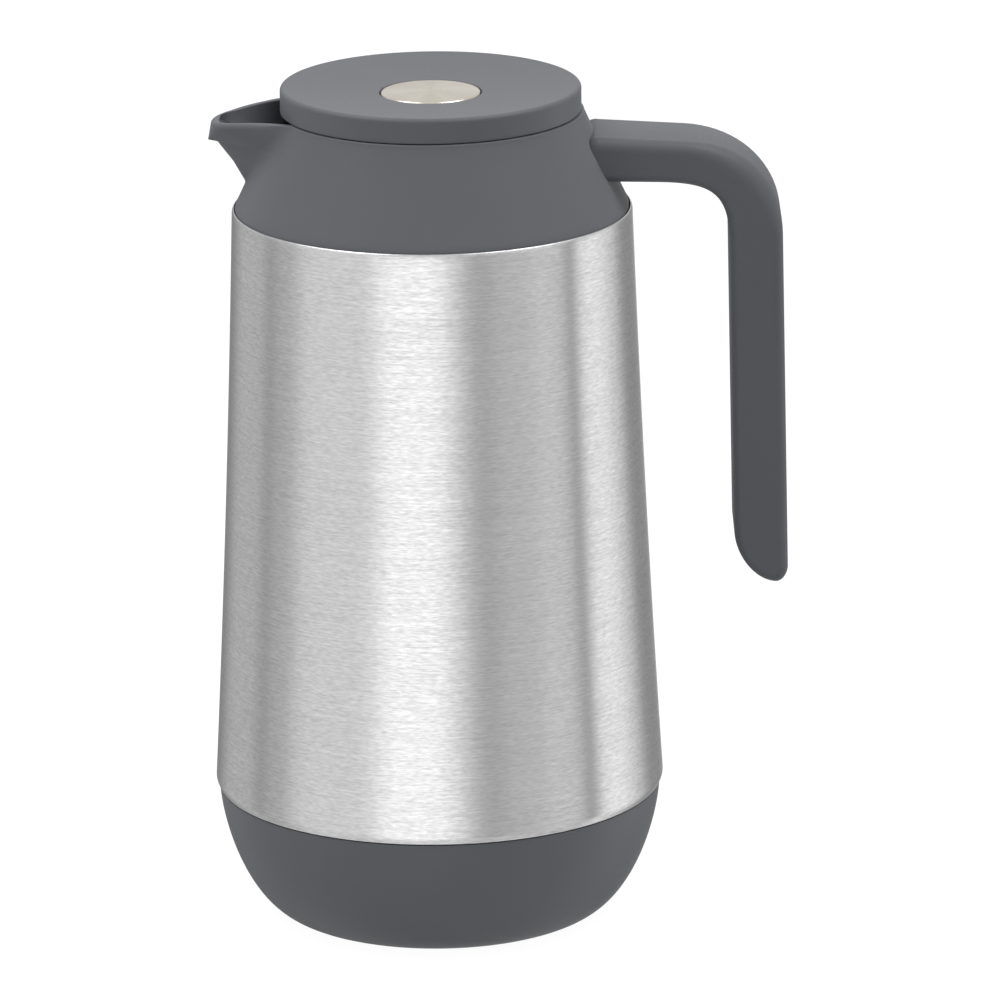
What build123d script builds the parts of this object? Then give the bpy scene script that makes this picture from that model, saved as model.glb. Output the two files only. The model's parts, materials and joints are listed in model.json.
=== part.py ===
from build123d import *
import math
import os

# Press-button thermal jug. The origin is the centre of the foot on the table, +Z is up,
# the spout points to -X and the handle to +X. All lengths are millimetres.

# Outer stack, from the table up
BASE_HEIGHT = 38.6
SLEEVE_LENGTH = 174.8
COLLAR_HEIGHT = 28.6
LID_EDGE_HEIGHT = 7.4
SEAM_GAP = 0.3
LID_SEAM_GAP = 0.4

# Steel sleeve
SLEEVE_BOTTOM_RADIUS = 66.25
SLEEVE_TOP_RADIUS = 58.4
SLEEVE_WALL = 0.6
SLEEVE_ROLL_HEIGHT = 3.4
SLEEVE_ROLL_STEP = 0.85
SLEEVE_ROLL_BEND = 4.0
SLEEVE_LIP_ROUND = 0.28

# Base cup
BASE_INSET = 0.2
BASE_WALL = 2.6
BASE_FLOOR = 2.8
FOOT_RADIUS = 43.0
FOOT_RING_WIDTH = 6.0
FOOT_RECESS = 1.2
BASE_FLARE = 1.54
BASE_FULLNESS = 1.92
BASE_CURVE_STEPS = 9
BASE_LEDGE = 2.5
BASE_UPSTAND = 10.0
BASE_UPSTAND_WALL = 2.2

# Thread between the base cup and the ring bonded in the sleeve
BASE_RING_WALL = 2.4
BASE_RING_HEIGHT = 11.0
BASE_RING_RISE = 0.5
BASE_THREAD_GAP = 1.6
BASE_THREAD_CLEARANCE = 0.5
BASE_THREAD_LEAD = 6.0
BASE_THREAD_FOOT = 1.6
BASE_THREAD_TIP = 0.8
BASE_THREAD_SWEEP = 300.0
BASE_THREAD_RISE = 3.6
BASE_THREAD_SECTION_COUNT = 20

# Collar
COLLAR_RIM_RADIUS = 44.3
COLLAR_SHOULDER_DROP = 4.9
COLLAR_SHOULDER_RADIUS = 46.5
COLLAR_WALL = 2.4
COLLAR_FIT = 0.12
COLLAR_RIM_ROUND = 1.6
COLLAR_SHOULDER_ROUND = 6.0
COLLAR_FOOT_ROUND = 5.0
COLLAR_SKIRT = 10.0
COLLAR_LIP = 1.5
COLLAR_LIP_WIDTH = 1.9

# Spout: V-shaped level sections, given by the reach of the nose, how far beyond it the
# straight sides would meet, and the half angle between the sides. Below the lip the nose
# stands a share of the way from the cone out to the full reach.
SPOUT_REACH = 64.5
SPOUT_RIM_SETBACK = 1.2
SPOUT_KEEL_SHARE = 0.873
SPOUT_MID_SHARE = 0.486
SPOUT_ROOT_SINK = 0.3
SPOUT_TOP_POINT = 7.7
SPOUT_LIP_POINT = 0.4
SPOUT_KEEL_POINT = 2.5
SPOUT_MID_POINT = 1.0
SPOUT_ROOT_POINT = 0.3
SPOUT_TOP_ANGLE = 32.0
SPOUT_LIP_ANGLE = 38.0
SPOUT_MID_ANGLE = 46.0
SPOUT_ROOT_ANGLE = 48.0
SPOUT_ROOT_DROP = 21.3
SPOUT_MID_DROP = 14.6
SPOUT_LIP_DROP = 8.1
SPOUT_TIP_DROP = 2.3
SPOUT_WALL = 2.2
SPOUT_KEEL_WALL = 3.2
SPOUT_FLOOR_DROP = 18.0
SPOUT_RIM_ROUND = 0.45
SPOUT_OVERRUN = 1.5

# Handle
HANDLE_WIDTH = 29.0
HANDLE_REACH = 101.6
HANDLE_GRIP = 15.5
HANDLE_ARM = 13.6
HANDLE_TOP_DROP = 6.1
HANDLE_TOP_SLOPE = 3.6
HANDLE_END_Z = 101.4
HANDLE_LEAN = 1.6
HANDLE_OUTER_BEND = 28.5
HANDLE_INNER_BEND = 13.5
HANDLE_TIP_BEND = 11.3
HANDLE_TIP_CORNER = 3.9
HANDLE_ROUND = 3.2
HANDLE_PAD_X = 44.0
HANDLE_PAD_MARGIN = 1.3
HANDLE_KEY = 6.0
HANDLE_KEY_DEPTH = 2.6
HANDLE_KEY_FIT = 0.15

# Handle screws
SCREW_SPACING = 17.0
SCREW_RADIUS = 1.75
SCREW_HEAD_RADIUS = 3.3
SCREW_HEAD = 1.8
SCREW_GRIP = 11.0
SCREW_FIT = 0.1
SCREW_SLOT = 0.9

# Funnel insert that lines the collar and takes the stopper
FUNNEL_RIM_RADIUS = 41.8
FUNNEL_WALL = 1.9
FUNNEL_DEPTH = 19.2
FUNNEL_FOOT_RADIUS = 36.4
FUNNEL_FLOOR_FALL = 0.8
THREAD_BORE_RADIUS = 32.8
THREAD_BORE_LENGTH = 18.5
NECK_TUBE_RADIUS = 26.5
NECK_TUBE_WALL = 4.3
NECK_TUBE_LENGTH = 7.5
SEAT_THICKNESS = 2.6
FUNNEL_FLANGE = 2.0
FUNNEL_FLANGE_DROP = 27.6
INSERT_FIT = 0.15

# Multi-start thread between the stopper and the insert
THREAD_START_COUNT = 4
THREAD_LEAD = 24.0
THREAD_SWEEP = 62.0
THREAD_CLEARANCE = 0.5
THREAD_FOOT = 2.6
THREAD_TIP = 1.3
THREAD_FLANK_GAP = 0.25
THREAD_SINK = 0.4
THREAD_DROP = 9.0
THREAD_SECTION_COUNT = 6
THREAD_RUNOUT = 0.35

# Stopper
STOPPER_RADIUS = 30.0
STOPPER_WALL = 2.4
STOPPER_SPIGOT_RADIUS = 26.0
STOPPER_SPIGOT = 5.7
STOPPER_FLOOR = 2.5
STOPPER_SHOULDER = 3.0
WINDOW_COUNT = 6
WINDOW_HEIGHT = 8.0
WINDOW_WIDTH = 16.0
WINDOW_SILL = 0.4
WINDOW_ROUND = 1.5
GASKET_THICKNESS = 2.0
GASKET_EDGE = 0.3
SOFT_GAP = 0.1

# Deck that closes the stopper above its windows and carries the spring cup
DECK_THICKNESS = 2.0
DECK_RISE = 1.2
DECK_FIT = 0.15
DECK_WALL = 2.0
DECK_FLANGE_RADIUS = 37.4
DECK_FLANGE = 1.8
DECK_FLANGE_DROP = 1.6
SPRING_CUP_RADIUS = 9.6
SPRING_CUP_WALL = 1.5
SPRING_CUP_FLOOR = 2.0
GUIDE_RADIUS = 6.0
GUIDE_LENGTH = 9.5

# Lid cover
LID_RADIUS = 43.8
LID_WALL = 2.2
LID_TOP_ROUND = 1.8
LID_FOOT_ROUND = 0.5
LID_DISH = 2.75
LID_RING_GAP = 0.7
LID_RING_WALL = 1.5
LID_RING_DROP = 3.0
LID_POST_RADIUS = 2.5
LID_POST_INSET = 3.75
LID_POST_COUNT = 3
BUTTON_TUBE_WALL = 1.8
BUTTON_TUBE_DROP = 4.4

# Button, stem and valve
BUTTON_RADIUS = 14.6
BUTTON_GAP = 0.45
BUTTON_SHEET = 0.8
BUTTON_SKIRT = 2.6
BUTTON_CROWN = 0.5
BUTTON_EDGE_ROUND = 0.5
BUTTON_TRAVEL = 4.0
PLUNGER_FLANGE = 1.6
PLUNGER_LIP = 2.0
PLUNGER_STOP_GAP = 0.2
PLUNGER_BOSS_RADIUS = 5.2
PLUNGER_CLEARANCE = 4.2
STEM_RADIUS = 3.0
STEM_FIT = 0.03
SPRING_RADIUS = 7.4
SPRING_WIRE = 1.0
SPRING_TURNS = 5.5
SPRING_LENGTH = 16.2
ORING_SECTION = 0.52
ORING_DROP = 1.5
ORING_PLAY = 0.13
VALVE_HOLE_RADIUS = 12.5
VALVE_SEAL_THICKNESS = 1.4
VALVE_SEAL_LAP = 3.0
VALVE_DISC = 2.2
VALVE_DISC_MARGIN = 0.3
VALVE_HUB_GAP = 2.7
VALVE_HUB_RISE = 2.2
STEM_NUT_RADIUS = 5.6
STEM_NUT = 3.0

# Double-wall glass flask and its rubber
FLASK_GAP = 4.5
FLASK_GLASS = 1.6
FLASK_VACUUM = 4.0
FLASK_NECK_RADIUS = 28.8
FLASK_NECK_LENGTH = 9.0
FLASK_SHOULDER = 30.0
FLASK_BOTTOM_ROUND = 28.0
FLASK_SHOULDER_ROUND = 20.0
FLASK_NECK_ROUND = 8.0
FLASK_TIP_RADIUS = 3.0
FLASK_TIP_LENGTH = 5.0
NECK_GASKET = 3.2
NECK_GASKET_SKIRT = 5.0
NECK_GASKET_WALL = 1.8
CUSHION_HEIGHT = 10.0
CUSHION_CLIMB = 5.0
CUSHION_RADIUS = 34.0
CUSHION_HOLE = 8.0
PAD_RADIUS = 4.0
PAD_COUNT = 3
PAD_RISE = 50.0

# Heights and radii that follow from the sizes above
SLEEVE_FOOT_Z = BASE_HEIGHT + SEAM_GAP
SLEEVE_KNEE_Z = SLEEVE_FOOT_Z + SLEEVE_ROLL_HEIGHT
SLEEVE_TOP_Z = SLEEVE_FOOT_Z + SLEEVE_LENGTH
BASE_TOP_RADIUS = SLEEVE_BOTTOM_RADIUS - SLEEVE_ROLL_STEP - BASE_INSET
COLLAR_FOOT_Z = SLEEVE_TOP_Z - SLEEVE_LIP_ROUND
COLLAR_TOP_Z = COLLAR_FOOT_Z + COLLAR_HEIGHT
COLLAR_SHOULDER_Z = COLLAR_TOP_Z - COLLAR_SHOULDER_DROP
COLLAR_FOOT_RADIUS = SLEEVE_TOP_RADIUS - SLEEVE_WALL - COLLAR_FIT
COLLAR_LIP_RADIUS = FUNNEL_RIM_RADIUS - COLLAR_LIP_WIDTH
LID_FOOT_Z = COLLAR_TOP_Z + LID_SEAM_GAP
LID_TOP_Z = LID_FOOT_Z + LID_EDGE_HEIGHT
LID_RING_RADIUS = COLLAR_LIP_RADIUS - LID_RING_GAP
INSERT_TOP_Z = COLLAR_TOP_Z - COLLAR_LIP
FUNNEL_FOOT_Z = INSERT_TOP_Z - FUNNEL_DEPTH
SEAT_Z = FUNNEL_FOOT_Z - THREAD_BORE_LENGTH
INSERT_FOOT_Z = SEAT_Z - NECK_TUBE_LENGTH
FLASK_TOP_Z = INSERT_FOOT_Z - NECK_GASKET
FLASK_FOOT_Z = BASE_FLOOR + CUSHION_HEIGHT
STOPPER_SHOULDER_Z = SEAT_Z + GASKET_THICKNESS + 2 * SOFT_GAP
STOPPER_FOOT_Z = STOPPER_SHOULDER_Z - STOPPER_SPIGOT
STOPPER_TOP_Z = LID_FOOT_Z - DECK_FLANGE_DROP
WINDOW_Z = FUNNEL_FOOT_Z + WINDOW_SILL
DECK_Z = WINDOW_Z + WINDOW_HEIGHT + DECK_RISE
DECK_RADIUS = STOPPER_RADIUS - STOPPER_WALL - DECK_FIT
BUTTON_HOLE_RADIUS = BUTTON_RADIUS + BUTTON_GAP
STEM_BORE = STEM_RADIUS + STEM_FIT


def dish_z(radius):
    """Height of the dished lid top at a radius."""
    return LID_TOP_Z - LID_DISH * (1 - (radius / LID_RADIUS) ** 2)


BUTTON_TOP_Z = dish_z(BUTTON_RADIUS)
BUTTON_TUBE_Z = BUTTON_TOP_Z - BUTTON_TUBE_DROP
PLUNGER_TOP_Z = BUTTON_TUBE_Z - PLUNGER_STOP_GAP
PLUNGER_Z = PLUNGER_TOP_Z - PLUNGER_FLANGE
SPRING_Z = PLUNGER_Z - SPRING_LENGTH
CUP_FOOT_Z = SPRING_Z - SPRING_CUP_FLOOR
SEAL_TOP_Z = STOPPER_FOOT_Z - SOFT_GAP
VALVE_TOP_Z = SEAL_TOP_Z - VALVE_SEAL_THICKNESS
VALVE_Z = VALVE_TOP_Z - VALVE_DISC
STEM_NUT_Z = VALVE_Z - STEM_NUT
STEM_TOP_Z = PLUNGER_Z + PLUNGER_FLANGE / 2
HANDLE_TOP_Z = COLLAR_TOP_Z - HANDLE_TOP_DROP
HANDLE_MID_Z = HANDLE_TOP_Z - HANDLE_ARM / 2


def lerp(start, end, share):
    """Value a share of the way from start to end."""
    return start + (end - start) * share


def sleeve_radius(z):
    """Outer radius of the straight part of the sleeve."""
    share = (z - SLEEVE_KNEE_Z) / (SLEEVE_TOP_Z - SLEEVE_KNEE_Z)
    return lerp(SLEEVE_BOTTOM_RADIUS, SLEEVE_TOP_RADIUS, share)


def base_radius(z):
    """Outer radius of the base cup, a full curve from the foot to an upright edge."""
    rest = 1 - z / BASE_HEIGHT
    swell = (1 - rest**BASE_FLARE) ** (1 / BASE_FULLNESS)
    return lerp(FOOT_RADIUS, BASE_TOP_RADIUS, swell)


BASE_RING_Z = SLEEVE_KNEE_Z + BASE_RING_RISE
BASE_RING_TOP_Z = BASE_RING_Z + BASE_RING_HEIGHT
BASE_RING_BORE = sleeve_radius(BASE_RING_TOP_Z) - SLEEVE_WALL - BASE_RING_WALL
UPSTAND_RADIUS = BASE_RING_BORE - BASE_THREAD_GAP
UPSTAND_TOP_Z = BASE_HEIGHT + BASE_UPSTAND
FLASK_RADIUS = UPSTAND_RADIUS - BASE_UPSTAND_WALL - FLASK_GAP


def profile(points, rounds=()):
    """Closed outline of (radius, height) points, with some corners rounded."""
    face = make_face(Polyline(*points, close=True))
    for corner, radius in rounds:
        face = fillet(face.vertices().sort_by_distance(corner)[0], radius)
    return face


def curved_profile(*lines):
    """Closed outline of joined lines and curves in the (radius, height) plane."""
    return make_face([edge for line in lines for edge in line.edges()])


def turned(face):
    """Solid of revolution about Z of a face drawn as (radius, height)."""
    return revolve(Plane.XZ * face, Axis.Z)


def ring(inner, outer, low, high):
    """Plain ring between two radii and two heights."""
    return turned(profile([(inner, low), (outer, low), (outer, high), (inner, high)]))


def around(piece, count):
    """The piece repeated about Z."""
    return [Rot(0, 0, 360 * turn / count) * piece for turn in range(count)]


def thread_ridge(root, crest, start_z, lead, foot, tip, sweep, sections):
    """One helical ridge of trapezoid section, run out at both ends."""
    faces = []
    for step in range(sections + 1):
        share = step / sections
        depth = THREAD_RUNOUT if step in (0, sections) else 1.0
        top = lerp(root, crest, depth)
        z = start_z + lead * sweep * share / 360
        lower = [(root, z - foot / 2), (top, z - tip / 2)]
        upper = [(top, z + tip / 2), (root, z + foot / 2)]
        faces.append(Rot(0, 0, sweep * share) * (Plane.XZ * profile(lower + upper)))
    return loft(faces)


def flank_offset(root_male, crest_male, root_female, foot, tip, gap):
    """Height from the middle of a ridge to the middle of the mating ridge, flanks a gap apart."""
    slope = (foot - tip) / 2 / abs(crest_male - root_male)
    return foot - slope * (root_female - root_male) + gap


def make_body_sleeve():
    """Steel sleeve: tapered tube, rolled in at the foot and rounded at the lip."""
    foot = SLEEVE_BOTTOM_RADIUS - SLEEVE_ROLL_STEP
    outline = [
        (foot - SLEEVE_WALL, SLEEVE_FOOT_Z),
        (foot, SLEEVE_FOOT_Z),
        (SLEEVE_BOTTOM_RADIUS, SLEEVE_KNEE_Z),
        (SLEEVE_TOP_RADIUS, SLEEVE_TOP_Z),
        (SLEEVE_TOP_RADIUS - SLEEVE_WALL, SLEEVE_TOP_Z),
        (SLEEVE_BOTTOM_RADIUS - SLEEVE_WALL, SLEEVE_KNEE_Z),
    ]
    rounds = [
        (outline[2], SLEEVE_ROLL_BEND),
        (outline[5], SLEEVE_ROLL_BEND - SLEEVE_WALL),
        (outline[3], SLEEVE_LIP_ROUND),
        (outline[4], SLEEVE_LIP_ROUND),
    ]
    return turned(profile(outline, rounds))


def base_shape(inset, floor):
    """Solid under the base cup's curve, moved in by a wall and cut off at a floor."""
    turns = [math.pi * step / BASE_CURVE_STEPS for step in range(BASE_CURVE_STEPS + 1)]
    heights = [lerp(floor, BASE_HEIGHT, (1 - math.cos(turn)) / 2) for turn in turns]
    points = [(base_radius(z) - inset, z) for z in heights]
    rest = Polyline(points[-1], (0, BASE_HEIGHT), (0, floor), points[0])
    return turned(curved_profile(Spline(*points), rest))


def make_base_cup():
    """Base cup: full curve outside, even wall, foot ring and a threaded upstand."""
    inside = UPSTAND_RADIUS - BASE_UPSTAND_WALL
    cup = base_shape(0, 0) - base_shape(BASE_WALL, BASE_FLOOR)
    cup += ring(inside, BASE_TOP_RADIUS - BASE_WALL / 2, BASE_HEIGHT - BASE_LEDGE, BASE_HEIGHT)
    cup += ring(inside, UPSTAND_RADIUS, BASE_HEIGHT - BASE_LEDGE, UPSTAND_TOP_Z)
    cup += base_thread(UPSTAND_RADIUS, BASE_RING_BORE - BASE_THREAD_CLEARANCE, 0)
    cup -= Cylinder(FOOT_RADIUS - FOOT_RING_WIDTH, 2 * FOOT_RECESS)
    return cup


def base_thread(wall, crest, lift):
    """Single-start ridge of the base thread, sunk a little into the wall that carries it."""
    root = wall - math.copysign(THREAD_SINK, crest - wall)
    start = BASE_HEIGHT + BASE_THREAD_RISE + lift
    section = (BASE_THREAD_FOOT, BASE_THREAD_TIP)
    return thread_ridge(
        root, crest, start, BASE_THREAD_LEAD, *section, BASE_THREAD_SWEEP, BASE_THREAD_SECTION_COUNT
    )


def make_base_ring():
    """Ring bonded inside the sleeve's foot, with the inner half of the base thread."""
    outline = [
        (BASE_RING_BORE, BASE_RING_Z),
        (sleeve_radius(BASE_RING_Z) - SLEEVE_WALL - COLLAR_FIT, BASE_RING_Z),
        (sleeve_radius(BASE_RING_TOP_Z) - SLEEVE_WALL - COLLAR_FIT, BASE_RING_TOP_Z),
        (BASE_RING_BORE, BASE_RING_TOP_Z),
    ]
    lift = flank_offset(
        UPSTAND_RADIUS - THREAD_SINK,
        BASE_RING_BORE - BASE_THREAD_CLEARANCE,
        BASE_RING_BORE + THREAD_SINK,
        BASE_THREAD_FOOT,
        BASE_THREAD_TIP,
        THREAD_FLANK_GAP,
    )
    ridge = base_thread(BASE_RING_BORE, UPSTAND_RADIUS + BASE_THREAD_CLEARANCE, lift)
    return turned(profile(outline)) + ridge


def cone_radius(drop):
    """Radius of the collar's cone at a depth below the rim."""
    share = (COLLAR_HEIGHT - drop) / (COLLAR_HEIGHT - COLLAR_SHOULDER_DROP)
    return lerp(COLLAR_FOOT_RADIUS, COLLAR_SHOULDER_RADIUS, share)


def spout_section(drop, reach, point, half_angle, back):
    """Level V-shaped face with a rounded nose towards -X and straight sides back to x = -back."""
    angle = math.radians(half_angle)
    nose = point * math.sin(angle) / (1 - math.sin(angle))
    centre = nose - reach
    touch = (centre - nose * math.sin(angle), nose * math.cos(angle))
    side = (-back, (reach + point - back) * math.tan(angle))
    sides = Polyline((touch[0], touch[1]), side, (side[0], -side[1]), (touch[0], -touch[1]))
    tip = ThreePointArc((touch[0], -touch[1]), (-reach, 0), touch)
    return Pos(0, 0, COLLAR_TOP_Z - drop) * curved_profile(sides, tip)


def keel_levels():
    """Sections below the lip as (drop, reach, point, half angle), from the root up."""
    middle = lerp(cone_radius(SPOUT_MID_DROP), SPOUT_REACH, SPOUT_MID_SHARE)
    upper = lerp(cone_radius(SPOUT_LIP_DROP), SPOUT_REACH, SPOUT_KEEL_SHARE)
    root = cone_radius(SPOUT_ROOT_DROP) - SPOUT_ROOT_SINK
    return [
        (SPOUT_ROOT_DROP, root, SPOUT_ROOT_POINT, SPOUT_ROOT_ANGLE),
        (SPOUT_MID_DROP, middle, SPOUT_MID_POINT, SPOUT_MID_ANGLE),
        (SPOUT_LIP_DROP, upper, SPOUT_KEEL_POINT, SPOUT_LIP_ANGLE),
    ]


def lip_levels():
    """Sections of the lip as (drop, reach, point, half angle), from its edge up past the rim."""
    low = (SPOUT_LIP_DROP, SPOUT_REACH, SPOUT_LIP_POINT, SPOUT_LIP_ANGLE)
    rim = (0, SPOUT_REACH - SPOUT_RIM_SETBACK, SPOUT_TOP_POINT, SPOUT_TOP_ANGLE)
    share = (SPOUT_LIP_DROP + SPOUT_OVERRUN) / SPOUT_LIP_DROP
    return [low, tuple(lerp(start, end, share) for start, end in zip(low, rim))]


def spout_solid():
    """Solid outer shape of the spout: a flared keel under a lip that runs up to the rim."""
    back = COLLAR_LIP_RADIUS
    keel = loft([spout_section(*level, back) for level in keel_levels()], ruled=True)
    lip = loft([spout_section(*level, back) for level in lip_levels()], ruled=True)
    return keel + lip


def spout_channel():
    """Space inside the spout, from the bowl's floor out to the tip, open at the top."""
    back = THREAD_BORE_RADIUS + FUNNEL_WALL
    root, middle, upper = keel_levels()
    share = (SPOUT_ROOT_DROP - SPOUT_FLOOR_DROP) / (SPOUT_ROOT_DROP - SPOUT_MID_DROP)
    floor = tuple(lerp(start, end, share) for start, end in zip(root, middle))
    faces = []
    for level in (floor, middle, upper, lip_levels()[1]):
        drop, reach, point, angle = level
        wall = SPOUT_WALL if drop < 0 else SPOUT_KEEL_WALL
        thin = SPOUT_WALL / math.sin(math.radians(angle))
        faces.append(spout_section(drop, reach - wall, point + wall - thin, angle, back))
    return loft(faces, ruled=True)


def collar_shape():
    """Solid outer shape of the collar without its spout."""
    outline = [
        (0, COLLAR_FOOT_Z - COLLAR_SKIRT),
        (COLLAR_FOOT_RADIUS, COLLAR_FOOT_Z - COLLAR_SKIRT),
        (COLLAR_FOOT_RADIUS, COLLAR_FOOT_Z),
        (COLLAR_SHOULDER_RADIUS, COLLAR_SHOULDER_Z),
        (COLLAR_RIM_RADIUS, COLLAR_TOP_Z),
        (0, COLLAR_TOP_Z),
    ]
    rounds = [
        (outline[2], COLLAR_FOOT_ROUND),
        (outline[3], COLLAR_SHOULDER_ROUND),
        (outline[4], COLLAR_RIM_ROUND),
    ]
    return turned(profile(outline, rounds))


def collar_cavity():
    """Space inside the collar, under the lip that holds the insert down."""
    inside = FUNNEL_RIM_RADIUS + INSERT_FIT
    skirt = COLLAR_FOOT_RADIUS - COLLAR_WALL
    outline = [
        (0, COLLAR_FOOT_Z - 2 * COLLAR_SKIRT),
        (skirt, COLLAR_FOOT_Z - 2 * COLLAR_SKIRT),
        (skirt, COLLAR_FOOT_Z),
        (inside, INSERT_TOP_Z),
        (0, INSERT_TOP_Z),
    ]
    return turned(profile(outline)) + ring_bore(COLLAR_LIP_RADIUS, INSERT_TOP_Z, COLLAR_TOP_Z)


def ring_bore(radius, low, high):
    """Plain round space that runs a little past both heights."""
    return Pos(0, 0, (low + high) / 2) * Cylinder(radius, high - low + 2 * COLLAR_LIP)


def handle_pad():
    """Block inside the collar wall that the handle's screws bear on."""
    depth = COLLAR_FOOT_RADIUS - HANDLE_PAD_X
    width = HANDLE_WIDTH - 2 * HANDLE_PAD_MARGIN
    height = HANDLE_ARM - 2 * HANDLE_PAD_MARGIN
    return Pos(HANDLE_PAD_X + depth / 2, 0, HANDLE_MID_Z) * Box(depth, width, height)


def handle_key(fit):
    """Square key that stops the handle turning in the collar."""
    start = HANDLE_PAD_X + HANDLE_KEY_DEPTH - fit
    length = HANDLE_REACH - HANDLE_GRIP - start
    size = HANDLE_KEY + 2 * fit
    return Pos(start + length / 2, 0, HANDLE_MID_Z) * Box(length, size, size)


def screw_places():
    """Places of the two handle screws, side by side, pointing along +X."""
    offsets = (-SCREW_SPACING / 2, SCREW_SPACING / 2)
    return [Pos(HANDLE_PAD_X, offset, HANDLE_MID_Z) * Rot(0, 90, 0) for offset in offsets]


def screw_holes(radius):
    """Holes along both screws, from the pad to the end of their grip."""
    hole = extrude(Circle(radius), collar_wall_at_handle() + SCREW_GRIP)
    return [place * hole for place in screw_places()]


def collar_wall_at_handle():
    """Thickness of pad and wall that the handle screws pass through."""
    return cone_radius(COLLAR_TOP_Z - HANDLE_MID_Z) - HANDLE_PAD_X


def make_collar():
    """Moulded collar with the spout, the lip that holds the insert, and the handle's seat."""
    outer = collar_shape()
    channel = spout_channel()
    wall = outer - collar_cavity() + (handle_pad() & outer) - channel
    collar = wall + (spout_lip() - insert_outer(INSERT_FIT) - channel)
    collar -= handle_key(HANDLE_KEY_FIT)
    for hole in screw_holes(SCREW_RADIUS + SCREW_FIT):
        collar -= hole
    return collar


def spout_lip():
    """Spout trimmed to its rim, with the rim's outer edge rounded."""
    spout = spout_solid() - spout_trim()
    rim = [face for face in spout.faces() if -SPOUT_REACH < face.center().X < -COLLAR_RIM_RADIUS]
    rim = max(rim, key=lambda face: face.center().Z)
    edges = [edge for edge in rim.edges() if edge.center().X < -COLLAR_RIM_RADIUS - SPOUT_RIM_ROUND]
    return fillet(edges, SPOUT_RIM_ROUND)


def spout_trim():
    """Space above the spout's rim, which falls from the collar's top to the tip."""
    high = COLLAR_TOP_Z + 2 * SPOUT_OVERRUN
    tip = COLLAR_TOP_Z - SPOUT_TIP_DROP
    points = [
        (-COLLAR_RIM_RADIUS, COLLAR_TOP_Z),
        (-SPOUT_REACH, tip),
        (-2 * SPOUT_REACH, tip),
        (-2 * SPOUT_REACH, high),
        (-COLLAR_LIP_RADIUS / 2, high),
        (-COLLAR_LIP_RADIUS / 2, COLLAR_TOP_Z),
    ]
    return extrude(Plane.XZ * profile(points), SPOUT_REACH, both=True)


def insert_outer(fit):
    """Solid outer shape of the insert above its flange, moved out by a fit."""
    outline = [
        (0, INSERT_FOOT_Z),
        (THREAD_BORE_RADIUS + FUNNEL_WALL + fit, INSERT_FOOT_Z),
        (THREAD_BORE_RADIUS + FUNNEL_WALL + fit, FUNNEL_FOOT_Z - FUNNEL_WALL),
        (FUNNEL_FOOT_RADIUS + FUNNEL_WALL + fit, FUNNEL_FOOT_Z),
        (FUNNEL_RIM_RADIUS + fit, INSERT_TOP_Z),
        (0, INSERT_TOP_Z),
    ]
    return turned(profile(outline))


def make_neck_insert():
    """Insert: funnel under the collar's lip, threaded bore, gasket seat and neck tube."""
    flange_z = INSERT_TOP_Z - FUNNEL_FLANGE_DROP
    flange = COLLAR_FOOT_RADIUS - COLLAR_WALL - INSERT_FIT
    wall = THREAD_BORE_RADIUS + FUNNEL_WALL
    neck = NECK_TUBE_RADIUS + NECK_TUBE_WALL
    outline = [
        (NECK_TUBE_RADIUS, INSERT_FOOT_Z),
        (neck, INSERT_FOOT_Z),
        (neck, SEAT_Z - SEAT_THICKNESS),
        (wall, SEAT_Z - SEAT_THICKNESS),
        (wall, flange_z - FUNNEL_FLANGE),
        (flange, flange_z - FUNNEL_FLANGE),
        (flange, flange_z),
        (wall, flange_z),
        (wall, FUNNEL_FOOT_Z - FUNNEL_WALL),
        (FUNNEL_FOOT_RADIUS + FUNNEL_WALL, FUNNEL_FOOT_Z),
        (FUNNEL_RIM_RADIUS, INSERT_TOP_Z),
        (FUNNEL_RIM_RADIUS - FUNNEL_WALL, INSERT_TOP_Z),
        (FUNNEL_FOOT_RADIUS, FUNNEL_FOOT_Z + FUNNEL_FLOOR_FALL),
        (THREAD_BORE_RADIUS, FUNNEL_FOOT_Z),
        (THREAD_BORE_RADIUS, SEAT_Z),
        (NECK_TUBE_RADIUS, SEAT_Z),
    ]
    insert = turned(profile(outline))
    ridge = stopper_thread(THREAD_BORE_RADIUS, STOPPER_RADIUS + THREAD_CLEARANCE, 0)
    for start in around(ridge, THREAD_START_COUNT):
        insert += start
    return insert - spout_channel()


def stopper_thread(wall, crest, drop):
    """One start of the stopper thread, sunk a little into the wall that carries it."""
    root = wall - math.copysign(THREAD_SINK, crest - wall)
    start = FUNNEL_FOOT_Z - THREAD_DROP - drop
    section = (THREAD_FOOT, THREAD_TIP)
    return thread_ridge(root, crest, start, THREAD_LEAD, *section, THREAD_SWEEP, THREAD_SECTION_COUNT)


def handle_outline():
    """Side view of the handle: arm, bend and open-ended grip, in (x, z)."""
    fall = math.tan(math.radians(HANDLE_TOP_SLOPE))
    root = HANDLE_PAD_X
    top_start = HANDLE_TOP_Z + fall * (COLLAR_SHOULDER_RADIUS - root)
    top_end = HANDLE_TOP_Z - fall * (HANDLE_REACH - COLLAR_SHOULDER_RADIUS)
    under = HANDLE_TOP_Z - HANDLE_ARM
    inner = HANDLE_REACH - HANDLE_GRIP
    points = [
        (root, top_start),
        (HANDLE_REACH, top_end),
        (HANDLE_REACH + HANDLE_LEAN, HANDLE_END_Z),
        (inner + HANDLE_LEAN, HANDLE_END_Z),
        (inner, under),
        (root, under),
    ]
    rounds = [
        (points[1], HANDLE_OUTER_BEND),
        (points[2], HANDLE_TIP_CORNER),
        (points[3], HANDLE_TIP_BEND),
        (points[4], HANDLE_INNER_BEND),
    ]
    return profile(points, rounds)


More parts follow.
